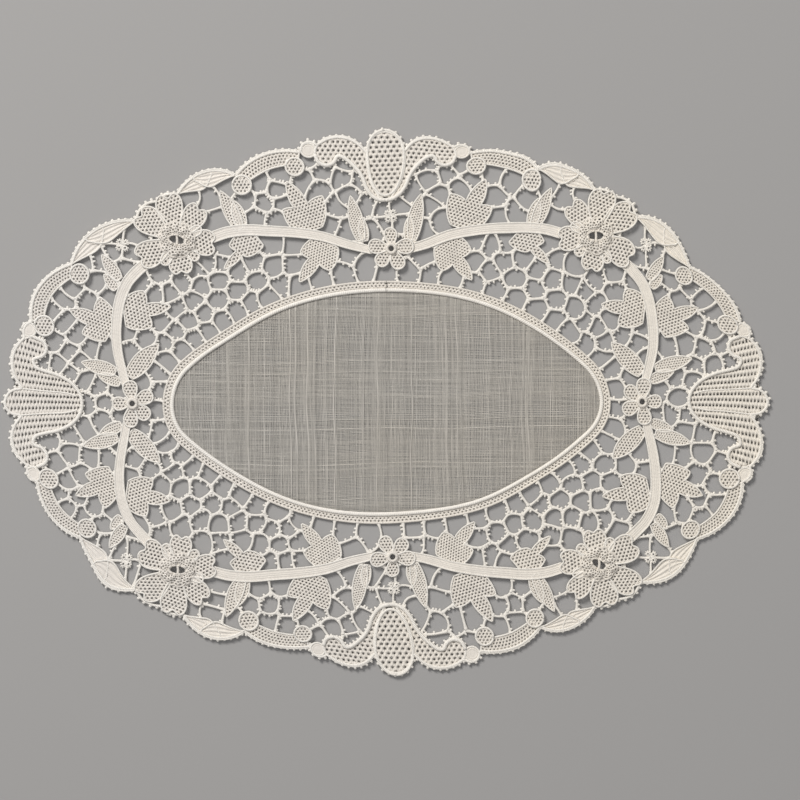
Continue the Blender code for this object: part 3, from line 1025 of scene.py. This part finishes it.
flat_shell = np.stack([shell[:, 0], shell[:, 1] / fan(shell[:, 0])], axis=1)
rows = toile(flat_shell, 1.32, 2.35, 0.78, height=0.65, place=shell_place, low=0.7,
             grade=lambda at: 1.2 - 0.55 * (at[:, 0] - SHELL_TIP) / SHELL_LENGTH)
add(edge_fabric, rows, ENDS)
add(cords, cord(even(shell, 0.7, True), CORD, 0.83, closed=True), ENDS)
outlines.extend(shell * sides for sides in ENDS)
SHELL_CORD = [(134.2, 25.0), (130.7, 23.4), (129.6, 20.6), (131.0, 17.9), (134.2, 16.4), (133.2, 13.4),
              (129.4, 12.0), (124.6, 10.6), (119.6, 7.8), (116.4, 4.0), (115.4, 0.0)]
shell_inner = smooth(SHELL_CORD + [(x, -y) for x, y in SHELL_CORD[-2::-1]], 0.7)
add(cords, cord(shell_inner, 0.72, 0.95, sides=8), ENDS)
thorns(shell_inner, ENDS, 1.9, 1.45, 1.1, -1, 0.7, inner_thorns)
SHELL_VEIN = [(139.4, 5.3), (130.1, 4.4), (121.9, 3.8), (117.4, 2.6)]
vein = smooth(SHELL_VEIN, 0.7)
for side_y in (1, -1):
    add(cords, mirrored(cord(vein, 0.36, 0.76), 1, side_y), ENDS)

# %% [markdown]
# ## The outer edge
#
# One firm cord runs round the whole doily with a picot about every two and a half millimetres. It is a
# buttonholed cord, so it is a little thicker than the cordonnet of the leaves.

# %% Edge cord and picots
EDGE_CORD = 0.60
PICOT_SPACING = 2.4
rim = even(edge + sideways(edge, True) * -EDGE_CORD, 0.7, closed=True)
cords.append(cord(rim, EDGE_CORD, 0.75, closed=True))
roots = even(edge + sideways(edge, True) * -0.3, PICOT_SPACING, closed=True)
ways = sideways(roots, True)
sizes = 1.15 * random.uniform(0.75, 1.15, len(roots))
edge_thorns.append(picots(roots, ways, sizes, 1.3, 0.7, sides=6))
print(len(roots), "picots round the edge")

# %% [markdown]
# ## Crowns of the roses
#
# In the middle of each rose a small flower is worked apart and sewn on so that it stands up. Its fabric
# is the same toile, finer, laid out round a centre: the flat pattern is bent so that one direction runs
# round the flower and the other outwards. The height is a dome between eye and rim, creased by nine
# folds. The eye is a wound oval ring with a bar across it.

# %% Relief crowns
CROWN_OUTER = 6.6
EYE_LENGTH = 3.3
EYE_WIDTH = 1.8
CROWN_LOBES = 9
CROWN_FLAT_RADIUS = 4.4
CROWN_NAMES = {
    # name: (side_x, side_y)
    "upper_right": (1, 1),
    "lower_right": (1, -1),
    "lower_left": (-1, -1),
    "upper_left": (-1, 1),
}


def crown_reach(share, angle, phase):
    """From the oval eye, share 0, to the nine-lobed rim, share 1: (1 - share) eye + share rim."""
    eye = 1 / np.sqrt((np.cos(angle) / EYE_LENGTH) ** 2 + (np.sin(angle) / EYE_WIDTH) ** 2)
    rim = CROWN_OUTER * (0.94 + 0.10 * np.abs(np.cos(CROWN_LOBES * angle / 2 + phase)))
    return (1 - share) * eye + share * rim


def crown_height(share, angle, phase):
    """1.3 + 1.3 sin(pi (0.15 + 0.8 s))^0.7 folds + creases; s is 0 at the eye and 1 at the rim."""
    folds = 0.6 + 0.4 * np.abs(np.cos(CROWN_LOBES * angle / 2 + phase))
    crease = 0.22 * np.sin(3 * angle + 2 * phase + 5 * share) + 0.2 * np.sin(8 * angle - phase + 6 * share)
    crease += 0.14 * np.sin(13 * angle + 3 * phase - 9 * share)
    dome = np.sin(np.pi * (0.15 + 0.8 * np.clip(share, 0, 1))) ** 0.7
    return 1.3 + 1.3 * dome * folds + crease


def crown_parts(middle, phase):
    """Toile wrapped round the eye, a lobed rim cord, and the eye's ring and bar."""
    girth, depth = 2 * np.pi * CROWN_FLAT_RADIUS, CROWN_FLAT_RADIUS
    tilt = -0.3 + 0.3 * np.sin(3 * phase)
    flat = np.array([(0, 0), (girth, 0), (girth, depth), (0, depth)], float)

    def place(points):
        angle, share = -points[:, 0] / girth * 2 * np.pi, points[:, 1] / depth
        radius = crown_reach(share, angle, phase)
        z = points[:, 2] + crown_height(share, angle, phase)
        x, y = middle[0] + radius * np.cos(angle + tilt), middle[1] + radius * np.sin(angle + tilt)
        return np.stack([x, y, z], axis=1)

    cloth = toile(even(flat, 0.5, True), girth / 24, 0.95, 0.42, height=0.0, thick=0.22, place=place)
    angle = np.linspace(0, girth, 150, endpoint=False)
    rim = place(np.stack([angle, np.full(150, depth), np.zeros(150)], axis=1))
    eye = place(np.stack([angle, np.zeros(150), np.zeros(150)], axis=1))
    across = middle + np.array([(-0.15, -2.0), (0.1, 0.0), (-0.1, 2.0)])
    return [
        cloth,
        cord(rim[:, :2], 0.34, rim[:, 2], closed=True),
        cord(eye[:, :2], 0.42, eye[:, 2] + 0.1, closed=True),
        cord(smooth(across, 0.4), 0.5, 1.8),
    ]


crowns = {}
for count, (name, sides) in enumerate(CROWN_NAMES.items()):
    middle = np.array(ROSE) * sides
    crowns[name] = crown_parts(middle, 1.3 * count + 0.4)

# %% [markdown]
# ## Rings of the blossoms
#
# Each blossom has a small wound ring in its middle, with picots all round it and an open eye. Between
# the roses and blossoms lie little snowflakes: four eyelets round a crossing of the net's bars, each
# with picots on its outer side.

# %% Rings and snowflakes
RING_RADIUS = 1.6
LOWER_RING_RADIUS = 2.3
RING_PICOT_RADIUS = 2.1
rings = {}
for name, (x, y, outward) in BLOSSOMS.items():
    wound = cord(disc((x, y), RING_RADIUS, 0.3), 0.62, 1.9, closed=True, sides=8, flat=0.95)
    below = cord(disc((x, y), LOWER_RING_RADIUS, 0.4), 0.36, 1.2, closed=True)
    at = disc((x, y), RING_PICOT_RADIUS, 1.6)
    ways = (at - [x, y]) / RING_PICOT_RADIUS
    rings[name] = [wound, below, picots(at, ways, 0.8, 0.7, 1.4)]

SNOWFLAKES = [
    # x, y, copies
    (2.0, 70.6, SIDES),
    (99.8, 59.6, QUARTERS),
]
SNOWFLAKE_REACH = 3.4
LOBE_OFFSET = 1.55
LOBE_RADIUS = 0.62
LOBE_BEARINGS = np.radians([49, 139, 229, 319])
lobe_ways = np.stack([np.cos(LOBE_BEARINGS), np.sin(LOBE_BEARINGS)], axis=1)
for x, y, copies in SNOWFLAKES:
    middle = np.array([x, y])
    for lobe in middle + LOBE_OFFSET * lobe_ways:
        add(cords, cord(disc(lobe, LOBE_RADIUS, 0.3), 0.32, 0.75, closed=True), copies)
        roots = disc(lobe, 0.8, 0.8)
        ways = (roots - lobe) / 0.8
        outward = ((roots - middle) * ways).sum(axis=1) > 0.9
        add(inner_thorns, picots(roots[outward], ways[outward], 0.6, 0.75, 0.75), copies)

# %% [markdown]
# ## The net
#
# The ground is a mesh of buttonholed bars. A lace maker puts each bar where the last ones leave room,
# so the meshes come out as rounded, slightly unequal polygons. The same thing is done here with
# Voronoi cells: seeds are scattered, every point of the ground goes to its nearest seed, each seed
# moves to the middle of its points (Lloyd's step), and after some rounds the borders between cells are
# the bars. Twelve meshes must come out open at the places that the CAD record names, two of which lie
# in one mesh, so the seeds of these meshes stay put. So do the four seeds round each snowflake, whose
# borders cross in its middle.

# %% Where the net goes
NET_STEP = 0.6
NET_PITCH = 7.4
openings = frame["record"]["physics"]["openings"]


def drawn(x, y):
    """The design point that pulled() takes to x, y, found by going back and forth a few times."""
    u, v = np.array(x, float), np.array(y, float)
    for _ in range(6):
        at_x, at_y = pulled(u, v)
        u, v = u - (at_x - x), v - (at_y - y)
    return u, v


def covered(points, shapes):
    """True where a point lies inside one of the outlines; each looks only at points in its own box."""
    found = np.zeros(len(points), bool)
    for shape in shapes:
        near = ((points >= shape.min(axis=0)) & (points <= shape.max(axis=0))).all(axis=1)
        near = np.flatnonzero(near & ~found)
        if len(near):
            found[near[inside(points[near], shape)]] = True
    return found


def inside_large(points, outline):
    """inside() for a long outline, in slices that fit in memory."""
    slices = np.array_split(points, max(len(points) // 4000, 1))
    return np.concatenate([inside(part, outline) for part in slices])


edge_coarse, centre_coarse = even(edge, 1.5, True), even(centre, 1.5, True)
axis_x, axis_y = np.arange(-146, 146.1, NET_STEP), np.arange(-104, 104.1, NET_STEP)
ground = np.stack([axis.ravel() for axis in np.meshgrid(axis_x, axis_y)], axis=1)
ground = ground[inside_large(ground, edge_coarse)]
ground = ground[~inside_large(ground, centre_coarse)]
free = ground[~covered(ground, outlines)]
print("net ground:", round(len(free) * NET_STEP**2 / 100), "square cm of", len(free), "points")

# %% Seeds and Lloyd's steps
LLOYD_STEPS = 28
ROW_SHARE = 0.866
LATTICE_STRAY = 0.17
SEED_MARGIN = 1.2
PIN_MARGIN = 0.8
pins = np.array([np.mean(o["box_m"], axis=0)[:2] for o in openings]) / to_metres
pins = np.stack(drawn(*pins.T), axis=1)
pins = pins[[k for k, pin in enumerate(pins) if np.all(np.hypot(*(pins[:k] - pin).T) > NET_PITCH / 2)]]
print(len(pins), "open meshes hold", len(openings), "stated openings")
crossings = [([x, y] + SNOWFLAKE_REACH * lobe_ways) * sides
             for x, y, copies in SNOWFLAKES for sides in copies]
pins = np.concatenate([pins] + crossings)


def nearest_seed(points, seeds):
    """The number of the nearest seed for each point, in slices that fit in memory."""
    slices = np.array_split(points, max(len(points) // 8000, 1))
    size = (seeds**2).sum(axis=1)
    return np.concatenate([(size - 2 * part @ seeds.T).argmin(axis=1) for part in slices])


columns, rows = np.arange(-21, 22), np.arange(-17, 18)
i, j = (axis.ravel() for axis in np.meshgrid(columns, rows))
lattice = np.stack([(i + 0.5 * (j % 2)) * NET_PITCH, j * NET_PITCH * ROW_SHARE], axis=1)
lattice += random.uniform(-LATTICE_STRAY, LATTICE_STRAY, lattice.shape) * NET_PITCH
on_ground = np.sqrt(((lattice[:, None] - free[None, ::7]) ** 2).sum(-1)).min(axis=1) < SEED_MARGIN
clear = np.sqrt(((lattice[:, None] - pins[None]) ** 2).sum(-1)).min(axis=1) > PIN_MARGIN * NET_PITCH
seeds = np.concatenate([pins, lattice[on_ground & clear]])
for _ in range(LLOYD_STEPS):
    owner = nearest_seed(free, seeds)
    share = np.maximum(np.bincount(owner, minlength=len(seeds)), 1)[:, None]
    middle = np.stack([np.bincount(owner, free[:, k], len(seeds)) for k in (0, 1)], axis=1) / share
    occupied = share[:, 0] > 1
    seeds[len(pins):] = np.where(occupied[:, None], middle, seeds)[len(pins):]
    keep = occupied | (np.arange(len(seeds)) < len(pins))
    seeds = seeds[keep]
print(len(seeds), "meshes in the net")

# %% [markdown]
# The borders between cells come from the Delaunay triangles of the seeds: the middle of the circle
# through each triangle is a corner of the net, and two triangles that share a side are joined by a bar.
# A bar is kept only where it runs over open ground, with a little extra at each end so that it is sewn
# into the cord that it meets.

# %% Bars between the meshes
FAR_SEEDS = 28
FAR_RADIUS = 500.0
LONGEST_RAY = 60.0
SAMPLE = 0.25
SEWN_IN = 0.5
SHORTEST_RUN = 0.25
SHORTEST_BORDER = 0.3
around = np.linspace(0, 2 * np.pi, FAR_SEEDS, endpoint=False)
far = FAR_RADIUS * np.stack([np.cos(around), np.sin(around)], axis=1)
sites, _, triangles, _, _, _ = delaunay_2d_cdt(np.concatenate([seeds, far]).tolist(), [], [], 0, 1e-6)
sites = np.array([tuple(site) for site in sites])
triangles = np.array(triangles)
a, b, c = (sites[triangles[:, k]] for k in range(3))
twice = 2 * ((b - a)[:, 0] * (c - a)[:, 1] - (b - a)[:, 1] * (c - a)[:, 0])
ab, ac = ((b - a) ** 2).sum(axis=1), ((c - a) ** 2).sum(axis=1)
off_x = ((c - a)[:, 1] * ab - (b - a)[:, 1] * ac) / twice
off_y = ((b - a)[:, 0] * ac - (c - a)[:, 0] * ab) / twice
corners = a + np.stack([off_x, off_y], axis=1)
sides_of = np.sort(np.concatenate([triangles[:, [0, 1]], triangles[:, [1, 2]], triangles[:, [2, 0]]]), axis=1)
of_triangle = np.tile(np.arange(len(triangles)), 3)
order = np.lexsort((sides_of[:, 1], sides_of[:, 0]))
same = (sides_of[order][1:] == sides_of[order][:-1]).all(axis=1)
starts = corners[of_triangle[order][:-1][same]]
ends = corners[of_triangle[order][1:][same]]
outside = np.linalg.norm(starts, axis=1) > np.linalg.norm(ends, axis=1)
starts[outside], ends[outside] = ends[outside], starts[outside].copy()
spans = np.linalg.norm(ends - starts, axis=1)
ends = starts + (ends - starts) * np.minimum(1, LONGEST_RAY / np.maximum(spans, 1e-6))[:, None]
spans = np.minimum(spans, LONGEST_RAY)
print(len(spans), "borders between cells")


def open_runs(start, end, span, free_here):
    """The stretches of one border over open ground, as pairs of points, a little longer than they are."""
    change = np.flatnonzero(np.diff(np.concatenate([[0], free_here.astype(int), [0]])))
    found = []
    for low, high in zip(change[::2], change[1::2]):
        near_end, far_end = low * SAMPLE, min((high - 1) * SAMPLE, span)
        if far_end - near_end < SHORTEST_RUN:
            continue
        near_end = near_end - SEWN_IN if low > 0 else 0.0
        far_end = far_end + SEWN_IN if high < len(free_here) else span
        way = (end - start) / span
        found.append((start + way * near_end, start + way * far_end))
    return found


counts = np.maximum((spans / SAMPLE).astype(int) + 1, 2)
which = np.repeat(np.arange(len(spans)), counts)
reach = (np.arange(counts.sum()) - np.repeat(np.cumsum(counts) - counts, counts)) * SAMPLE
samples = starts[which] + (ends - starts)[which] * (reach / np.maximum(spans[which], 1e-6))[:, None]
over = inside_large(samples, edge_coarse) & ~inside_large(samples, centre_coarse)
over[over] = ~covered(samples[over], outlines)
splits = np.split(over, np.cumsum(counts)[:-1])
bars = [run for k, part in enumerate(splits) if spans[k] > SHORTEST_BORDER
        for run in open_runs(starts[k], ends[k], spans[k], part)]
print(len(bars), "bars")

# %% [markdown]
# A bar is worked over two laid threads, so it is a slightly bent round cord, thicker where bars meet.
# All bars are built in one go: the same eight rings for each, laid out between its own two ends. Up to
# three picots stand on each bar that is long enough, nearly always on one side of it.

# %% Bar surfaces
BAR_RADIUS = 0.49
BAR_RINGS = 8
BAR_SIDES = 6
BAR_HEIGHT = 0.5


def bar_mesh(first, last, bend):
    """first + s (last - first) + bend sin(pi s) sideways; half width r (1 + 0.85 exp(-(d/0.95)^2))."""
    count = len(first)
    share = 0.5 - 0.5 * np.cos(np.linspace(0, np.pi, BAR_RINGS))
    share = 0.5 * share + 0.5 * np.linspace(0, 1, BAR_RINGS)
    way = last - first
    length = np.linalg.norm(way, axis=1)[:, None]
    side = np.stack([-way[:, 1], way[:, 0]], axis=1) / length
    arch = np.sin(np.pi * share)[None, :, None] * bend[:, None, None]
    middle = first[:, None] + way[:, None] * share[None, :, None] + side[:, None] * arch
    from_end = np.minimum(share, 1 - share)[None] * length
    radius = BAR_RADIUS * random.uniform(0.88, 1.12, (count, 1))
    flare = 1 + 0.85 * np.exp(-((from_end / 0.95) ** 2))
    angle = 2 * np.pi * np.arange(BAR_SIDES) / BAR_SIDES
    out = (radius * flare)[..., None] * np.cos(angle)
    up = radius[..., None] * np.sin(angle) * 0.85 + BAR_HEIGHT
    x = middle[..., :1] + side[:, None, :1] * out
    y = middle[..., 1:] + side[:, None, 1:] * out
    points = np.stack([x, y, np.broadcast_to(up, x.shape)], axis=3).reshape(-1, 3)
    ring = np.arange(count)[:, None, None] * BAR_RINGS * BAR_SIDES
    ring = ring + np.arange(BAR_RINGS - 1)[:, None] * BAR_SIDES
    k = np.arange(BAR_SIDES)
    after = (k + 1) % BAR_SIDES
    quads = np.stack([ring + k, ring + after, ring + BAR_SIDES + after, ring + BAR_SIDES + k], axis=3)
    caps = np.arange(count)[:, None] * BAR_RINGS * BAR_SIDES + k
    reach = np.repeat((share[None] * length).ravel(), BAR_SIDES)
    lay = np.stack([reach, np.tile(angle, count * BAR_RINGS)], axis=1)
    return points, [quads.reshape(-1, 4), caps[:, ::-1], caps + (BAR_RINGS - 1) * BAR_SIDES], lay


first = np.array([bar[0] for bar in bars])
last = np.array([bar[1] for bar in bars])
bend = random.normal(0, 0.07, len(bars)) * np.linalg.norm(last - first, axis=1)
net = [bar_mesh(first, last, bend)]
way = last - first
length = np.linalg.norm(way, axis=1)
side = np.stack([-way[:, 1], way[:, 0]], axis=1) / length[:, None]
facing = np.where(random.uniform(0, 1, len(bars)) < 0.5, 1, -1)
flakes = np.array([np.array([x, y]) * sides for x, y, copies in SNOWFLAKES for sides in copies])
in_snowflake = np.linalg.norm(((first + last) / 2)[:, None] - flakes, axis=2).min(axis=1)
roots, ways = [], []
for place in (0.22, 0.5, 0.78):
    used = length > (2.2 if place == 0.5 else 3.2)
    used &= random.uniform(0, 1, len(bars)) < 0.7
    used &= in_snowflake > SNOWFLAKE_REACH
    share = place + random.uniform(-0.07, 0.07, len(bars))
    arch = (np.sin(np.pi * share) * bend)[:, None] * side
    swap = np.where(random.uniform(0, 1, len(bars)) < 0.12, -1, 1)
    towards = side * (facing * swap)[:, None]
    roots.append((first + way * share[:, None] + arch + 0.2 * towards)[used])
    ways.append(towards[used])
roots, ways = np.concatenate(roots), np.concatenate(ways)
net_thorns = picots(roots, ways, random.uniform(0.8, 1.25, len(roots)), 1.05, BAR_HEIGHT)
print(len(roots), "picots on the bars")

# %% [markdown]
# ## Footing and linen
#
# Where lace meets linen runs a narrow band, the footing: a cord, a strip of toile with two rows of tiny
# pinholes, then the rolled hem of the linen. The linen is woven loosely enough to see through, so it is
# made as real threads: flat, slightly wavy yarns both ways, some thicker than others. Their spacing and
# their tone change in runs, and that gives the cloth its faint streaks.

# %% Footing band
HEM_RADIUS = 0.78
footing_place, footing_length = along(centre, closed=True)
strip_pitch = footing_length / round(footing_length / 1.5)
strip = np.array([(0, -2.6), (footing_length, -2.6), (footing_length, -0.25), (0, -0.25)])
footing_toile = toile(even(strip, 0.8, True), strip_pitch, 0.95, 0.36, height=0.62, place=footing_place)
footing_cord = cord(centre_line(0.3), 0.42, 0.7, closed=True)
hem_cord = cord(centre_line(3.4, 0.9), HEM_RADIUS, 0.82, closed=True, sides=10)

# %% Linen threads
YARN_STEP = 0.5
YARN_SEGMENTS = 24
linen_line = centre_line(3.2, 0.8)


def spacing(limit):
    """Places of the yarns: steps of 0.5 mm that widen and narrow in slow runs."""
    count = int(2 * limit / YARN_STEP * 1.15)
    phase = np.arange(count)
    runs = 1 + 0.15 * np.sin(phase / 9.1) + 0.11 * np.sin(phase / 3.7 + 1) + random.normal(0, 0.12, count)
    at = np.cumsum(YARN_STEP * runs)
    return at[at < 2 * limit] - limit


def yarns(at, half_spans, level, upright, width_share):
    """Flat closed strips of diamond section along x or y: side +-w/2, top and bottom +-0.09 mm."""
    count = len(at)
    share = np.linspace(-1, 1, YARN_SEGMENTS + 1)
    run = share[None] * half_spans[:, None]
    wave = 0.05 * np.sin(run / 6.0 + at[:, None] * 3) + 0.06 * np.sin(run / 15.0 + at[:, None])
    width = YARN_STEP * width_share * random.uniform(0.7, 1.3, count)
    width[random.uniform(0, 1, count) < 0.07] *= 1.5
    swell = 1 + 0.14 * np.sin(run / 4.3 + random.uniform(0, 6, (count, 1)))
    half = (width[:, None] * swell / 2)[..., None] * np.array([1, 0, -1, 0])
    up = level + 0.09 * np.array([0, 1, 0, -1])
    across = at[:, None, None] + wave[..., None] + half
    lengthwise = np.broadcast_to(run[..., None], across.shape)
    z = np.broadcast_to(up, across.shape)
    x, y = (across, lengthwise) if upright else (lengthwise, across)
    points = np.stack([x, y, z], axis=3).reshape(-1, 3)
    ring = np.arange(count)[:, None, None] * (YARN_SEGMENTS + 1) * 4 + np.arange(YARN_SEGMENTS)[:, None] * 4
    k = np.arange(4)
    after = (k + 1) % 4
    quads = np.stack([ring + k, ring + after, ring + 4 + after, ring + 4 + k], axis=3).reshape(-1, 4)
    caps = np.arange(count)[:, None] * (YARN_SEGMENTS + 1) * 4 + k
    faces = [quads, caps[:, ::-1], caps + YARN_SEGMENTS * 4]
    if upright:
        faces = [f[:, ::-1] for f in faces]
    number = np.repeat(np.arange(count), (YARN_SEGMENTS + 1) * 4) + (1000 if upright else 0)
    lay = np.stack([lengthwise.ravel(), number], axis=1)
    return points, faces, lay


def crossing(line, at, axis):
    """Half the length of the line's chord at this x (axis 0) or y (axis 1); it is the same both ways."""
    quarter = line[(line[:, 0] >= 0) & (line[:, 1] >= 0)]
    order = quarter[:, axis].argsort()
    return np.interp(np.abs(at), quarter[order, axis], quarter[order, 1 - axis])


half_x, half_y = linen_line.max(axis=0) - 0.35
warp_at, weft_at = spacing(half_x), spacing(half_y)
warp = yarns(warp_at, crossing(linen_line, warp_at, 0), 0.62, True, 0.46)
weft = yarns(weft_at, crossing(linen_line, weft_at, 1), 0.50, False, 0.46)

# %% [markdown]
# ## Putting the pieces on the frame
#
# Each piece stands for one or more CAD nodes, which are hidden but stay for the physics.
#
# LACE_AREA isn't a measured area. It was lowered until the share of surface to area lay within its
# limits, and it stands just above the least that a strip of this size allows. The outlines of the
# leaves and petals in the lace_fabric piece add up to 0.0078 square metres.

# %% Pieces
lace = piece("lace_fabric", fabric, toile_thread)
edge_lace = piece("edge_fabric", edge_fabric, toile_thread)
stems = piece("stem_tapes", tapes, tape_thread)
cordonnet = piece("cordonnet", cords, cord_thread)
edge_picots = piece("edge_picots", edge_thorns + inner_thorns, cord_thread)
bars_piece = piece("net_bars", net, net_thread)
bar_picots = piece("net_picots", [net_thorns], net_thread)
band = piece("footing", [footing_toile, footing_cord], toile_thread)
cloth = piece("linen_cloth", [warp, weft], linen_thread)
hem = piece("linen_hem", [hem_cord], hem_thread)
for name, parts in crowns.items():
    made = piece("crown_" + name, parts, relief_thread)
    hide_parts("rose_crown_" + name)
for name, parts in rings.items():
    made = piece("ring_" + name, parts, relief_thread)
    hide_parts("blossom_ring_" + name)
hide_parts("lace_border")
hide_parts("footing_band")
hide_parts("linen_panel")

# %% [markdown]
# ## Table, light and camera
#
# A plain grey table, one soft light from the upper left that gives the cords a lit and a shaded side,
# and a wide weak light overhead. The camera looks straight down.

# %% Table
TABLE_SIZE = 2.4
TABLE_TONE = (0.36, 0.355, 0.35, 1)
bpy.ops.mesh.primitive_plane_add(size=TABLE_SIZE, location=(0, 0, cad_box[0][2] - 0.0003))
floor = bpy.context.object
floor.name = "floor"
paint = bpy.data.materials.new("plain_table")
paint.use_nodes = True
table_shader = paint.node_tree.nodes["Principled BSDF"]
table_shader.inputs["Base Color"].default_value = TABLE_TONE
table_shader.inputs["Roughness"].default_value = 0.8
floor.data.materials.append(paint)

# %% Light
def area_light(name, place, target, size, power, colour):
    """A square area light at a place, turned to face the target, all in metres."""
    lamp = bpy.data.lights.new(name, "AREA")
    lamp.size = size
    lamp.energy = power
    lamp.color = colour
    made = bpy.data.objects.new(name, lamp)
    bpy.context.scene.collection.objects.link(made)
    made.location = place
    way = np.array(target, float) - place
    heading = np.arctan2(way[1], way[0])
    fall = np.arctan2(np.linalg.norm(way[:2]), -way[2])
    made.rotation_euler = (fall, 0, heading - np.pi / 2)
    return made


area_light("key_light", (-0.85, 1.25, 1.45), (0, 0, 0), 0.7, 37.0, (1.0, 0.975, 0.945))
area_light("overhead_fill", (0.1, -0.1, 1.6), (0, 0, 0), 1.4, 6.5, (1.0, 0.98, 0.96))
world = bpy.data.worlds.new("soft_surround")
bpy.context.scene.world = world
world.use_nodes = True
world.node_tree.nodes["Background"].inputs["Color"].default_value = (0.95, 0.96, 1.0, 1)
world.node_tree.nodes["Background"].inputs["Strength"].default_value = 0.2

# %% Camera
CAMERA_HEIGHT = 0.9
VIEW_WIDTH = 0.304
lens = bpy.data.cameras.new("camera")
lens.sensor_width = 36.0
lens.lens = lens.sensor_width * CAMERA_HEIGHT / VIEW_WIDTH
camera = bpy.data.objects.new("camera", lens)
camera.location = (0.0053, 0.0008, CAMERA_HEIGHT)
bpy.context.scene.collection.objects.link(camera)
bpy.context.scene.camera = camera
bpy.context.scene.view_settings.view_transform = "Standard"
